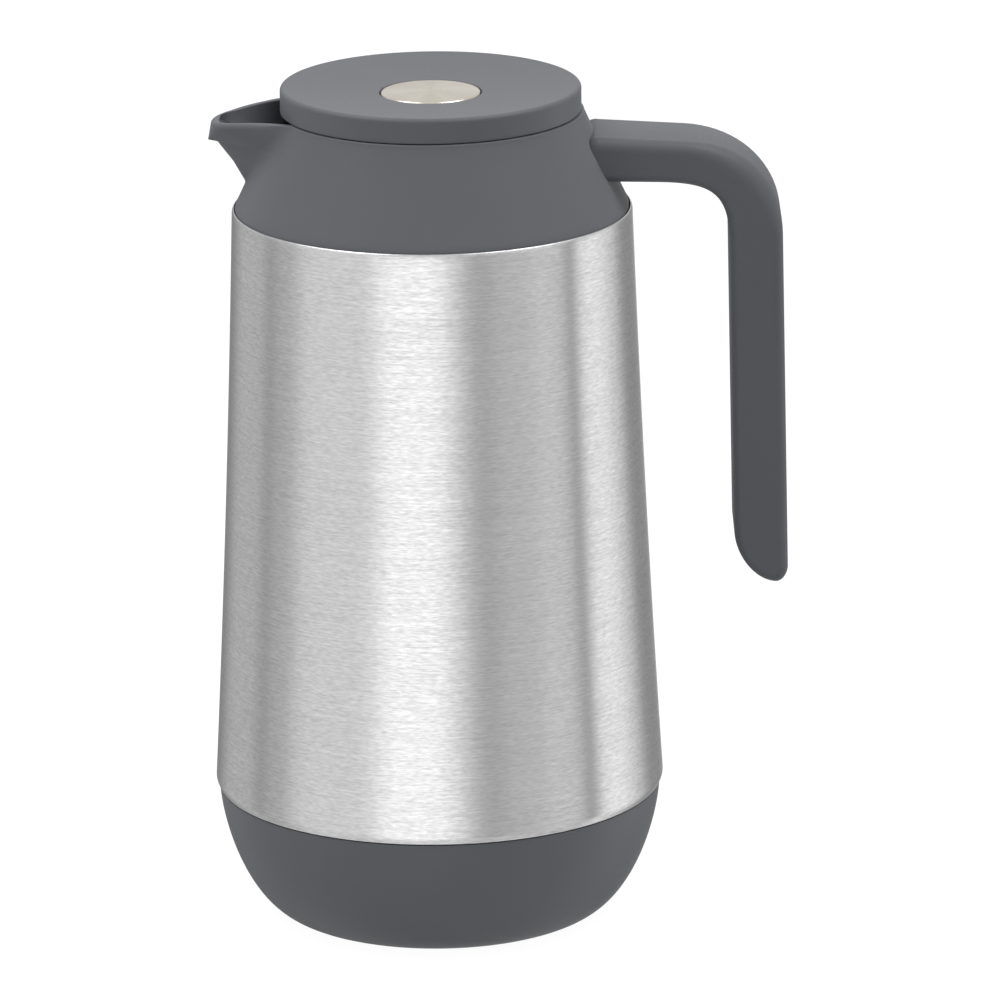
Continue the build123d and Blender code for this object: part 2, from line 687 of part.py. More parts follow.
def make_handle():
    """Handle: flat-sided bar with rounded edges, seated on the collar's cone and keyed into it."""
    side = HANDLE_WIDTH / 2
    bar = extrude(Plane.XZ * handle_outline(), side, both=True)
    rims = bar.faces().filter_by(Axis.Y)
    start = HANDLE_PAD_X + HANDLE_KEY_FIT
    edges = [edge for rim in rims for edge in rim.edges() if edge.center().X > start]
    bar = fillet(edges, HANDLE_ROUND)
    handle = bar - collar_shape() + handle_key(0) - handle_key_trim()
    for hole in screw_holes(SCREW_RADIUS):
        handle -= hole
    return handle


def handle_key_trim():
    """Everything nearer the jug's axis than the end of the handle's key."""
    end = HANDLE_PAD_X + HANDLE_KEY_DEPTH
    return Pos(end - HANDLE_REACH / 2, 0, HANDLE_MID_Z) * Box(HANDLE_REACH, HANDLE_WIDTH, HANDLE_REACH)


def make_handle_screws():
    """Two pan-head screws from the pad into the handle, each with a slot."""
    screws = []
    for place in screw_places():
        length = collar_wall_at_handle() + SCREW_GRIP - SCREW_FIT
        shank = extrude(Circle(SCREW_RADIUS - SCREW_FIT), length)
        head = extrude(Circle(SCREW_HEAD_RADIUS), -SCREW_HEAD)
        slot = Pos(0, 0, -SCREW_HEAD) * Box(SCREW_SLOT, 3 * SCREW_HEAD_RADIUS, SCREW_HEAD)
        screws.append(place * (shank + head - slot))
    return Compound(children=screws)


def flask_shape(inset):
    """Solid bottle shape of the flask, moved in from its outer surface by an inset."""
    neck_z = FLASK_TOP_Z - FLASK_NECK_LENGTH
    shoulder_z = neck_z - FLASK_SHOULDER
    turn = math.atan((FLASK_RADIUS - FLASK_NECK_RADIUS) / FLASK_SHOULDER)
    sink = inset * math.tan(turn / 2)
    outline = [
        (0, FLASK_FOOT_Z + inset),
        (FLASK_RADIUS - inset, FLASK_FOOT_Z + inset),
        (FLASK_RADIUS - inset, shoulder_z - sink),
        (FLASK_NECK_RADIUS - inset, neck_z - sink),
        (FLASK_NECK_RADIUS - inset, FLASK_TOP_Z),
        (0, FLASK_TOP_Z),
    ]
    rounds = [
        (outline[1], FLASK_BOTTOM_ROUND - inset),
        (outline[2], FLASK_SHOULDER_ROUND - inset),
        (outline[3], FLASK_NECK_ROUND + inset),
    ]
    return turned(profile(outline, rounds))


def make_flask_outer():
    """Outer glass wall of the flask, closed at the foot by its sealed tip."""
    glass = flask_shape(0) - flask_shape(FLASK_GLASS)
    glass -= ring(0, FLASK_RADIUS, FLASK_TOP_Z - FLASK_GLASS, FLASK_TOP_Z + FLASK_GLASS)
    tip = Cone(FLASK_TIP_RADIUS / 2, FLASK_TIP_RADIUS, FLASK_TIP_LENGTH)
    return glass + Pos(0, 0, FLASK_FOOT_Z - FLASK_TIP_LENGTH / 2) * tip


def make_flask_inner():
    """Inner glass wall of the flask, turned out at the mouth over the outer wall."""
    outside = FLASK_GLASS + FLASK_VACUUM
    glass = flask_shape(outside) - flask_shape(outside + FLASK_GLASS)
    mouth = FLASK_NECK_RADIUS - outside - FLASK_GLASS
    return glass + ring(mouth, FLASK_NECK_RADIUS, FLASK_TOP_Z - FLASK_GLASS, FLASK_TOP_Z)


def make_flask_pads():
    """Pads that keep the two glass walls apart."""
    inner = FLASK_RADIUS - FLASK_GLASS - FLASK_VACUUM + SOFT_GAP / 2
    outer = FLASK_RADIUS - FLASK_GLASS - SOFT_GAP / 2
    z = FLASK_FOOT_Z + PAD_RISE
    gap = ring(inner, outer, z - 2 * PAD_RADIUS, z + 2 * PAD_RADIUS)
    peg = Pos(FLASK_RADIUS / 2, 0, z) * Rot(0, 90, 0) * Cylinder(PAD_RADIUS, FLASK_RADIUS)
    return Compound(children=around(gap & peg, PAD_COUNT))


def make_flask_cushion():
    """Rubber dish on the base cup's floor that the flask stands in, open for the glass tip."""
    dish = ring(CUSHION_HOLE, CUSHION_RADIUS, BASE_FLOOR, FLASK_FOOT_Z + CUSHION_CLIMB)
    return dish - flask_shape(-SOFT_GAP / 2)


def make_neck_gasket():
    """Rubber collar between the flask's mouth and the insert."""
    neck = FLASK_NECK_RADIUS + SOFT_GAP / 2
    inner = FLASK_NECK_RADIUS - FLASK_VACUUM - 2 * FLASK_GLASS
    outline = [
        (inner, FLASK_TOP_Z),
        (neck, FLASK_TOP_Z),
        (neck, FLASK_TOP_Z - NECK_GASKET_SKIRT),
        (neck + NECK_GASKET_WALL, FLASK_TOP_Z - NECK_GASKET_SKIRT),
        (neck + NECK_GASKET_WALL, INSERT_FOOT_Z),
        (inner, INSERT_FOOT_Z),
    ]
    return turned(profile(outline))


def make_stopper_gasket():
    """Flat silicone ring between the stopper's shoulder and the insert's seat."""
    low = SEAT_Z + SOFT_GAP
    outline = [
        (STOPPER_SPIGOT_RADIUS + SOFT_GAP, low),
        (STOPPER_RADIUS, low),
        (STOPPER_RADIUS, low + GASKET_THICKNESS),
        (STOPPER_SPIGOT_RADIUS + SOFT_GAP, low + GASKET_THICKNESS),
    ]
    return turned(profile(outline, [(corner, GASKET_EDGE) for corner in outline[1:3]]))


def make_stopper_body():
    """Stopper: threaded cup with pouring windows and the valve hole in its floor."""
    inside = STOPPER_RADIUS - STOPPER_WALL
    spigot_inside = STOPPER_SPIGOT_RADIUS - STOPPER_WALL
    shelf_z = STOPPER_SHOULDER_Z + STOPPER_SHOULDER
    outline = [
        (VALVE_HOLE_RADIUS, STOPPER_FOOT_Z),
        (STOPPER_SPIGOT_RADIUS, STOPPER_FOOT_Z),
        (STOPPER_SPIGOT_RADIUS, STOPPER_SHOULDER_Z),
        (STOPPER_RADIUS, STOPPER_SHOULDER_Z),
        (STOPPER_RADIUS, STOPPER_TOP_Z),
        (inside, STOPPER_TOP_Z),
        (inside, shelf_z),
        (spigot_inside, shelf_z),
        (spigot_inside, STOPPER_FOOT_Z + STOPPER_FLOOR),
        (VALVE_HOLE_RADIUS, STOPPER_FOOT_Z + STOPPER_FLOOR),
    ]
    body = turned(profile(outline))
    window = Box(STOPPER_RADIUS, WINDOW_WIDTH, WINDOW_HEIGHT)
    window = fillet(window.edges().filter_by(Axis.X), WINDOW_ROUND)
    window = Pos(STOPPER_RADIUS, 0, WINDOW_Z + WINDOW_HEIGHT / 2) * window
    for opening in around(window, WINDOW_COUNT):
        body -= opening
    crest = THREAD_BORE_RADIUS - THREAD_CLEARANCE
    drop = flank_offset(
        STOPPER_RADIUS - THREAD_SINK,
        crest,
        THREAD_BORE_RADIUS + THREAD_SINK,
        THREAD_FOOT,
        THREAD_TIP,
        THREAD_FLANK_GAP,
    )
    for ridge in around(stopper_thread(STOPPER_RADIUS, crest, drop), THREAD_START_COUNT):
        body += ridge
    return body


def make_stopper_deck():
    """Deck: closes the stopper above the windows, with a flange, the spring cup and the stem guide."""
    cup = SPRING_CUP_RADIUS + SPRING_CUP_WALL
    inside = DECK_RADIUS - DECK_WALL
    floor_z = DECK_Z + DECK_THICKNESS
    outline = [
        (STEM_BORE, CUP_FOOT_Z - GUIDE_LENGTH),
        (GUIDE_RADIUS, CUP_FOOT_Z - GUIDE_LENGTH),
        (GUIDE_RADIUS, CUP_FOOT_Z),
        (cup, CUP_FOOT_Z),
        (cup, DECK_Z),
        (DECK_RADIUS, DECK_Z),
        (DECK_RADIUS, STOPPER_TOP_Z),
        (DECK_FLANGE_RADIUS, STOPPER_TOP_Z),
        (DECK_FLANGE_RADIUS, STOPPER_TOP_Z + DECK_FLANGE),
        (inside, STOPPER_TOP_Z + DECK_FLANGE),
        (inside, floor_z),
        (SPRING_CUP_RADIUS, floor_z),
        (SPRING_CUP_RADIUS, SPRING_Z),
        (STEM_BORE, SPRING_Z),
    ]
    return turned(profile(outline))


def under_lid(radius):
    """Height of the underside of the lid's top wall at a radius."""
    return dish_z(radius) - LID_WALL


def make_lid_cover():
    """Lid cover: dished disc with a locating ring, posts and the tube that guides the button."""
    tube = BUTTON_HOLE_RADIUS + BUTTON_TUBE_WALL
    ring_inside = LID_RING_RADIUS - LID_RING_WALL
    edge_inside = LID_RADIUS - LID_WALL
    middle = (BUTTON_HOLE_RADIUS + LID_RADIUS) / 2
    hole_edge = (BUTTON_HOLE_RADIUS, dish_z(BUTTON_HOLE_RADIUS))
    rim = (LID_RADIUS, LID_TOP_Z)
    foot = (LID_RADIUS, LID_FOOT_Z)
    top = ThreePointArc(hole_edge, (middle, dish_z(middle)), rim)
    rest = Polyline(
        rim,
        foot,
        (edge_inside, LID_FOOT_Z),
        (edge_inside, under_lid(edge_inside)),
        (LID_RING_RADIUS, under_lid(LID_RING_RADIUS)),
        (LID_RING_RADIUS, LID_FOOT_Z - LID_RING_DROP),
        (ring_inside, LID_FOOT_Z - LID_RING_DROP),
        (ring_inside, under_lid(ring_inside)),
        (tube, under_lid(tube)),
        (tube, BUTTON_TUBE_Z),
        (BUTTON_HOLE_RADIUS, BUTTON_TUBE_Z),
        hole_edge,
    )
    face = curved_profile(top, rest)
    for corner, radius in ((rim, LID_TOP_ROUND), (foot, LID_FOOT_ROUND)):
        face = fillet(face.vertices().sort_by_distance(corner)[0], radius)
    cover = turned(face)
    for post in around(lid_post(), LID_POST_COUNT):
        cover += post
    return cover


def lid_post():
    """Post that rests on the deck's flange and is welded there."""
    reach = DECK_FLANGE_RADIUS - LID_POST_INSET
    low = STOPPER_TOP_Z + DECK_FLANGE
    high = under_lid(reach) + LID_WALL / 2
    return Pos(reach, 0, (low + high) / 2) * Cylinder(LID_POST_RADIUS, high - low)


def make_button_cap():
    """Stamped steel disc with a low crown and a turned-down edge."""
    crown = BUTTON_TOP_Z + BUTTON_CROWN
    inside = BUTTON_RADIUS - BUTTON_SHEET
    foot = BUTTON_TOP_Z - BUTTON_SKIRT
    half = BUTTON_RADIUS / 2
    bulge = BUTTON_CROWN * (1 - (half / BUTTON_RADIUS) ** 2)
    top = ThreePointArc((0, crown), (half, BUTTON_TOP_Z + bulge), (BUTTON_RADIUS, BUTTON_TOP_Z))
    rest = Polyline(
        (BUTTON_RADIUS, BUTTON_TOP_Z),
        (BUTTON_RADIUS, foot),
        (inside, foot),
        (inside, BUTTON_TOP_Z - BUTTON_SHEET),
        (0, BUTTON_TOP_Z - BUTTON_SHEET),
        (0, crown),
    )
    face = curved_profile(top, rest)
    face = fillet(face.vertices().sort_by_distance((BUTTON_RADIUS, BUTTON_TOP_Z))[0], BUTTON_EDGE_ROUND)
    return turned(face)


def make_button_plunger():
    """Plunger under the steel disc: head, stop flange and the socket for the stem."""
    head = BUTTON_RADIUS - BUTTON_SHEET - STEM_FIT
    flange = BUTTON_HOLE_RADIUS + PLUNGER_LIP
    boss_z = SPRING_Z + BUTTON_TRAVEL + PLUNGER_CLEARANCE
    outline = [
        (STEM_BORE, boss_z),
        (PLUNGER_BOSS_RADIUS, boss_z),
        (PLUNGER_BOSS_RADIUS, PLUNGER_Z),
        (flange, PLUNGER_Z),
        (flange, PLUNGER_TOP_Z),
        (head, PLUNGER_TOP_Z),
        (head, BUTTON_TOP_Z - BUTTON_SHEET),
        (0, BUTTON_TOP_Z - BUTTON_SHEET),
        (0, STEM_TOP_Z),
        (STEM_BORE, STEM_TOP_Z),
    ]
    return turned(profile(outline))


def make_button_spring():
    """Compression spring with ground ends between the spring cup and the plunger."""
    middle = SPRING_Z + SPRING_WIRE / 2
    rise = SPRING_LENGTH - SPRING_WIRE
    path = Pos(0, 0, middle) * Helix(rise / SPRING_TURNS, rise, SPRING_RADIUS)
    section = Plane(origin=path @ 0, z_dir=path % 0) * Circle(SPRING_WIRE / 2)
    wire = sweep(section, path, is_frenet=True)
    return wire & ring(0, SPRING_RADIUS + SPRING_WIRE, SPRING_Z, PLUNGER_Z)


def make_valve_stem():
    """Steel stem from the plunger down to the valve, with a groove for its ring."""
    groove = STEM_RADIUS - 2 * ORING_SECTION + STEM_FIT / 2
    z = oring_z()
    half = ORING_SECTION + ORING_PLAY
    outline = [
        (0, STEM_NUT_Z),
        (STEM_RADIUS, STEM_NUT_Z),
        (STEM_RADIUS, z - half),
        (groove, z - half),
        (groove, z + half),
        (STEM_RADIUS, z + half),
        (STEM_RADIUS, STEM_TOP_Z),
        (0, STEM_TOP_Z),
    ]
    return turned(profile(outline))


def oring_z():
    """Height of the stem's sealing ring, inside the guide at both ends of the travel."""
    return CUP_FOOT_Z - ORING_DROP


def make_stem_ring():
    """Rubber ring in the stem's groove."""
    middle = STEM_RADIUS + STEM_FIT / 2 - ORING_SECTION
    section = Pos(middle, oring_z()) * Circle(ORING_SECTION)
    return turned(section)


def make_valve_plug():
    """Valve disc below the stopper's floor, with a hub that centres it in the hole."""
    hub = VALVE_HOLE_RADIUS - VALVE_HUB_GAP
    edge = VALVE_HOLE_RADIUS + VALVE_SEAL_LAP + VALVE_DISC_MARGIN
    outline = [
        (STEM_BORE, VALVE_Z),
        (edge, VALVE_Z),
        (edge, VALVE_TOP_Z),
        (hub, VALVE_TOP_Z),
        (hub, SEAL_TOP_Z + VALVE_HUB_RISE),
        (STEM_BORE, SEAL_TOP_Z + VALVE_HUB_RISE),
    ]
    return turned(profile(outline))


def make_valve_seal():
    """Silicone washer on the valve disc."""
    hub = VALVE_HOLE_RADIUS - VALVE_HUB_GAP
    return ring(hub + SOFT_GAP / 2, VALVE_HOLE_RADIUS + VALVE_SEAL_LAP, VALVE_TOP_Z, SEAL_TOP_Z)


def make_stem_nut():
    """Nut that holds the valve disc on the stem."""
    nut = extrude(Pos(0, 0, STEM_NUT_Z) * RegularPolygon(STEM_NUT_RADIUS, 6), STEM_NUT)
    return nut - Pos(0, 0, STEM_NUT_Z + STEM_NUT / 2) * Cylinder(STEM_BORE, 2 * STEM_NUT)


NODES = {
    "body_sleeve": make_body_sleeve,
    "base_cup": make_base_cup,
    "base_ring": make_base_ring,
    "collar": make_collar,
    "neck_insert": make_neck_insert,
    "handle": make_handle,
    "handle_screws": make_handle_screws,
    "flask_outer": make_flask_outer,
    "flask_inner": make_flask_inner,
    "flask_pads": make_flask_pads,
    "flask_cushion": make_flask_cushion,
    "neck_gasket": make_neck_gasket,
    "stopper_gasket": make_stopper_gasket,
    "stopper_body": make_stopper_body,
    "stopper_deck": make_stopper_deck,
    "lid_cover": make_lid_cover,
    "button_cap": make_button_cap,
    "button_plunger": make_button_plunger,
    "button_spring": make_button_spring,
    "valve_stem": make_valve_stem,
    "stem_ring": make_stem_ring,
    "valve_plug": make_valve_plug,
    "valve_seal": make_valve_seal,
    "stem_nut": make_stem_nut,
}

os.makedirs("parts", exist_ok=True)
for name, make in NODES.items():
    export_step(make(), f"parts/{name}.step")
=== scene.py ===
"""Press-button thermal jug: brushed steel sleeve, matt grey mouldings, steel button."""

import json
import logging
import math
from dataclasses import dataclass
from enum import Enum

import bmesh
import bpy
from mathutils import Matrix, Vector
from mathutils.geometry import interpolate_bezier

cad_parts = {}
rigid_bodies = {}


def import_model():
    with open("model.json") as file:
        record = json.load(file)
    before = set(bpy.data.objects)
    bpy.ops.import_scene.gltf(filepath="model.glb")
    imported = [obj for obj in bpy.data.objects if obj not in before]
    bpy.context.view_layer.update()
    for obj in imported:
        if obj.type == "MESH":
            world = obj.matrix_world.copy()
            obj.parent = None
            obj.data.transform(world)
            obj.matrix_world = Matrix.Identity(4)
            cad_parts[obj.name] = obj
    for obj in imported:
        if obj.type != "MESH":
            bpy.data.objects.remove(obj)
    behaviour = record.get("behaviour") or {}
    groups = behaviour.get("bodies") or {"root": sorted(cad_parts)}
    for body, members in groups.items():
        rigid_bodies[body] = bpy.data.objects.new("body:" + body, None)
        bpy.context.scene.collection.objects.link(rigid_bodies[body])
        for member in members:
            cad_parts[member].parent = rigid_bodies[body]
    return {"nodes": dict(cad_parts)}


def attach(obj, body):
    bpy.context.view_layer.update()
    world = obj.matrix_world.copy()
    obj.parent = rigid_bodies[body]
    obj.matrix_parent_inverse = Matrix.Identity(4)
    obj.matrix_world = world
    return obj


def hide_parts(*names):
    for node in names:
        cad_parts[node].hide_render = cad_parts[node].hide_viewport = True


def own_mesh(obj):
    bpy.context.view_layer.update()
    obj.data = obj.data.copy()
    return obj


LOG = logging.getLogger("thermal_jug")
MM = 0.001
QUARTER = math.pi / 2
# Noise keeps near its middle, so this part of its range is spread over a finish's whole range
NOISE_SPAN = {"From Min": 0.3, "From Max": 0.7}
# Angle from the spout's middle, in radians, over which its sides bulge
SPOUT_SPREAD = 0.45
Point = tuple[float, float]
Place = tuple[float, float, float]
Ease = tuple[float, float, float]


class Body(Enum):
    """The moving bodies that the dressed pieces ride on, by the model's names."""

    JUG = "jug"
    LID = "lid"
    BUTTON = "button"


class Brushing(Enum):
    """Which way a brushed finish runs."""

    LEVEL = "level round the wall"
    RINGS = "rings on a disc"


def linear(hex_colour: str) -> tuple[float, float, float, float]:
    """Turn an sRGB hex colour into the linear values that the shaders take.

    Args:
        hex_colour: Colour such as "#66696e".

    Returns:
        Red, green, blue and full opacity, linear.
    """
    parts = [int(hex_colour[i : i + 2], 16) / 255 for i in (1, 3, 5)]
    red, green, blue = (c / 12.92 if c <= 0.04045 else ((c + 0.055) / 1.055) ** 2.4 for c in parts)
    return red, green, blue, 1.0


def add_node(
    tree: bpy.types.NodeTree, kind: str, links: dict | None = None, **settings: str | bool
) -> bpy.types.NodeOutputs:
    """Add a node with its settings, and its inputs linked or set.

    Args:
        tree: Tree that gets the node.
        kind: Node type, such as "ShaderNodeTexNoise".
        links: Input name or number to an output socket or a constant.
        **settings: Properties of the node.

    Returns:
        The new node's outputs.
    """
    node = tree.nodes.new(kind)
    for name, value in settings.items():
        setattr(node, name, value)
    for key, value in (links or {}).items():
        if isinstance(value, bpy.types.NodeSocket):
            tree.links.new(value, node.inputs[key])
        else:
            node.inputs[key].default_value = value
    return node.outputs


def new_surface(name: str) -> tuple[bpy.types.Material, bpy.types.NodeTree]:
    """Start a material with an empty tree.

    Args:
        name: Name of the material.

    Returns:
        The material and its tree.
    """
    made = bpy.data.materials.new(name)
    made.use_nodes = True
    made.node_tree.nodes.clear()
    return made, made.node_tree


def looked_at(tree: bpy.types.NodeTree) -> bpy.types.NodeSocket:
    """Tell looks from soft light: 1 to the camera, in mirrors and through glass, else 0.

    Args:
        tree: Tree of the floor's material or of the world.

    Returns:
        The socket that gives the value.
    """
    path = add_node(tree, "ShaderNodeLightPath")
    seen = path["Is Camera Ray"]
    for ray in ("Is Glossy Ray", "Is Transmission Ray"):
        seen = add_node(tree, "ShaderNodeMath", {0: seen, 1: path[ray]}, operation="MAXIMUM")[0]
    return seen


def evenly(start: float, end: float, runs: int) -> list[float]:
    """Values from start to end in equal runs, both ends included."""
    return [start + (end - start) * i / runs for i in range(runs + 1)]


def clamped(value: float) -> float:
    """Value kept within 0 and 1."""
    return min(max(value, 0.0), 1.0)


def arc_points(centre: Point, radius: float, start: float, end: float, steps: int) -> list[Point]:
    """Points along an arc.

    Args:
        centre: Middle of the arc.
        radius: Radius of the arc.
        start: First angle in radians.
        end: Last angle in radians.
        steps: Number of runs the arc is cut into.

    Returns:
        The points, both ends included.
    """
    angles = evenly(start, end, steps)
    return [(centre[0] + radius * math.cos(a), centre[1] + radius * math.sin(a)) for a in angles]


def rounded(corners: list[tuple[float, float, float]], steps: int = 8) -> list[Point]:
    """Outline through corners, each rounded by its own radius.

    Args:
        corners: (x, y, radius) of each corner; radius 0 keeps it sharp.
        steps: Runs per rounded corner.

    Returns:
        The outline's points; the last isn't joined to the first.
    """
    points: list[Point] = []
    for i, (x, y, radius) in enumerate(corners):
        if radius <= 0:
            points.append((x, y))
            continue
        here = Vector((x, y))
        back = Vector(corners[i - 1][:2]) - here
        ahead = Vector(corners[(i + 1) % len(corners)][:2]) - here
        half = back.angle(ahead) / 2
        reach = radius / math.tan(half)
        centre = here + (back.normalized() + ahead.normalized()).normalized() * (radius / math.sin(half))
        first = here + back.normalized() * reach - centre
        last = here + ahead.normalized() * reach - centre
        start = math.atan2(first.y, first.x)
        end = start - first.angle_signed(last)
        points += arc_points((centre.x, centre.y), radius, start, end, steps)
    return points


def spaced(points: list[Point], longest: float, edge: float, closed: bool = True) -> list[Point]:
    """Cut long runs of an outline into shorter ones, so that a bend's shading stays at the bend.

    Args:
        points: The outline.
        longest: Longest run that is left.
        edge: Distance of the extra points next to each end of a long run.
        closed: Whether the last point joins the first.

    Returns:
        The outline with more points; a closed one ends on its first point.
    """
    ends = points + [points[0]] if closed else points
    out: list[Point] = [ends[0]]
    for a, b in zip(ends, ends[1:]):
        run = math.dist(a, b)
        if run > 3 * edge:
            inner = max(1, math.ceil((run - 2 * edge) / longest))
            shares = evenly(edge / run, 1 - edge / run, inner)
            out += [(a[0] + (b[0] - a[0]) * s, a[1] + (b[1] - a[1]) * s) for s in shares]
        out.append(b)
    return out


def add_object(name: str, data: bpy.types.ID) -> bpy.types.Object:
    """Put a mesh, a lamp or a camera in the scene, at the origin.

    Args:
        name: Name of the object.
        data: What the object shows.

    Returns:
        The new object.
    """
    obj = bpy.data.objects.new(name, data)
    bpy.context.scene.collection.objects.link(obj)
    return obj


def tidy_mesh(mesh: bpy.types.Mesh, sharp_degrees: float = 38.0) -> None:
    """Weld a mesh, turn its faces outwards and shade it smooth up to an angle.

    Args:
        mesh: Mesh in metres.
        sharp_degrees: Edges bent further than this stay sharp.
    """
    work = bmesh.new()
    work.from_mesh(mesh)
    bmesh.ops.remove_doubles(work, verts=work.verts, dist=1e-7)
    bmesh.ops.dissolve_degenerate(work, edges=work.edges, dist=1e-8)
    bmesh.ops.recalc_face_normals(work, faces=work.faces)
    work.to_mesh(mesh)
    work.free()
    mesh.shade_smooth()
    mesh.set_sharp_from_angle(angle=math.radians(sharp_degrees))
    mesh.update()


def grid_mesh(name: str, columns: list[list[Vector]]) -> bpy.types.Mesh:
    """Mesh of four-sided faces between columns of points; the last column joins the first.

    Args:
        name: Name of the mesh.
        columns: Lists of the same number of points, in millimetres.

    Returns:
        The mesh in metres.
    """
    high = len(columns[0])
    verts = [tuple(p * MM) for column in columns for p in column]
    faces = []
    for i in range(len(columns)):
        a, b = i * high, ((i + 1) % len(columns)) * high
        faces += [(a + k, b + k, b + k + 1, a + k + 1) for k in range(high - 1)]
    mesh = bpy.data.meshes.new(name)
    mesh.from_pydata(verts, [], faces)
    return mesh


def made_plain(
    obj: bpy.types.Object, tree: bpy.types.NodeTree, inputs: dict, sharp_degrees: float = 38.0
) -> bpy.types.Object:
    """Put an object through a Geometry Nodes tree and keep the result as its plain mesh.

    Args:
        obj: Object whose mesh goes into the tree.
        tree: The tree.
        inputs: Socket identifier to its value.
        sharp_degrees: Edges bent further than this stay sharp.

    Returns:
        The same object, without a modifier.
    """
    modifier = obj.modifiers.new(tree.name, "NODES")
    modifier.node_group = tree
    for identifier, value in inputs.items():
        modifier[identifier] = value
    bpy.context.view_layer.update()
    made = bpy.data.meshes.new_from_object(obj.evaluated_get(bpy.context.evaluated_depsgraph_get()))
    obj.modifiers.remove(modifier)
    obj.data = made
    tidy_mesh(made, sharp_degrees)
    return obj


class TurnedTree:
    """Geometry Nodes tree that turns an outline about Z, as a lathe or a blow mould does."""

    def __init__(self) -> None:
        """Build the tree once; every turned piece uses it with its own inputs."""
        self.tree = tree = bpy.data.node_groups.new("turned_shape", "GeometryNodeTree")
        face = tree.interface
        face.new_socket("Geometry", in_out="INPUT", socket_type="NodeSocketGeometry")
        steps = face.new_socket("Steps Around", in_out="INPUT", socket_type="NodeSocketInt")
        self.around = steps.identifier
        finish = face.new_socket("Finish", in_out="INPUT", socket_type="NodeSocketMaterial")
        self.finish = finish.identifier
        face.new_socket("Geometry", in_out="OUTPUT", socket_type="NodeSocketGeometry")
        given = add_node(tree, "NodeGroupInput")
        outline, around = given["Geometry"], given["Steps Around"]
        count = add_node(tree, "GeometryNodeAttributeDomainSize", {"Geometry": outline})["Point Count"]
        columns = add_node(tree, "ShaderNodeMath", {0: around, 1: 1.0}, operation="ADD")[0]
        grid = add_node(tree, "GeometryNodeMeshGrid", {"Vertices X": count, "Vertices Y": columns})["Mesh"]
        index = add_node(tree, "GeometryNodeInputIndex")[0]
        passed = add_node(tree, "ShaderNodeMath", {0: index, 1: columns}, operation="DIVIDE")[0]
        row = add_node(tree, "ShaderNodeMath", {0: passed}, operation="FLOOR")[0]
        column = add_node(tree, "ShaderNodeMath", {0: index, 1: columns}, operation="MODULO")[0]
        swept = add_node(tree, "ShaderNodeMath", {0: column, 1: math.tau}, operation="MULTIPLY")[0]
        turn = add_node(tree, "ShaderNodeMath", {0: swept, 1: around}, operation="DIVIDE")[0]
        point = add_node(
            tree,
            "GeometryNodeSampleIndex",
            {"Geometry": outline, "Value": add_node(tree, "GeometryNodeInputPosition")[0], "Index": row},
            data_type="FLOAT_VECTOR",
            domain="POINT",
        )["Value"]
        turned = add_node(
            tree, "ShaderNodeVectorRotate", {"Vector": point, "Angle": turn}, rotation_type="Z_AXIS"
        )[0]
        shaped = add_node(tree, "GeometryNodeSetPosition", {"Geometry": grid, "Position": turned})[0]
        welded = add_node(tree, "GeometryNodeMergeByDistance", {"Geometry": shaped, "Distance": 1e-7})[0]
        real = add_node(tree, "GeometryNodeRealizeInstances", {"Geometry": welded})[0]
        coat = {"Geometry": real, "Material": given["Finish"]}
        dressed = add_node(tree, "GeometryNodeSetMaterial", coat)[0]
        add_node(tree, "NodeGroupOutput", {"Geometry": dressed})

    def make(
        self, name: str, outline: list[Point], around: int, finish: bpy.types.Material
    ) -> bpy.types.Object:
        """Turn an outline into a finished piece.

        Args:
            name: Name of the piece.
            outline: (radius, height) points in millimetres.
            around: Steps round the axis.
            finish: Material of the piece.

        Returns:
            The piece as a plain mesh object at the origin.
        """
        line = bpy.data.meshes.new(name + "_outline")
        edges = [(i, i + 1) for i in range(len(outline) - 1)]
        line.from_pydata([(r * MM, 0.0, z * MM) for r, z in outline], edges, [])
        return made_plain(add_object(name, line), self.tree, {self.around: around, self.finish: finish})


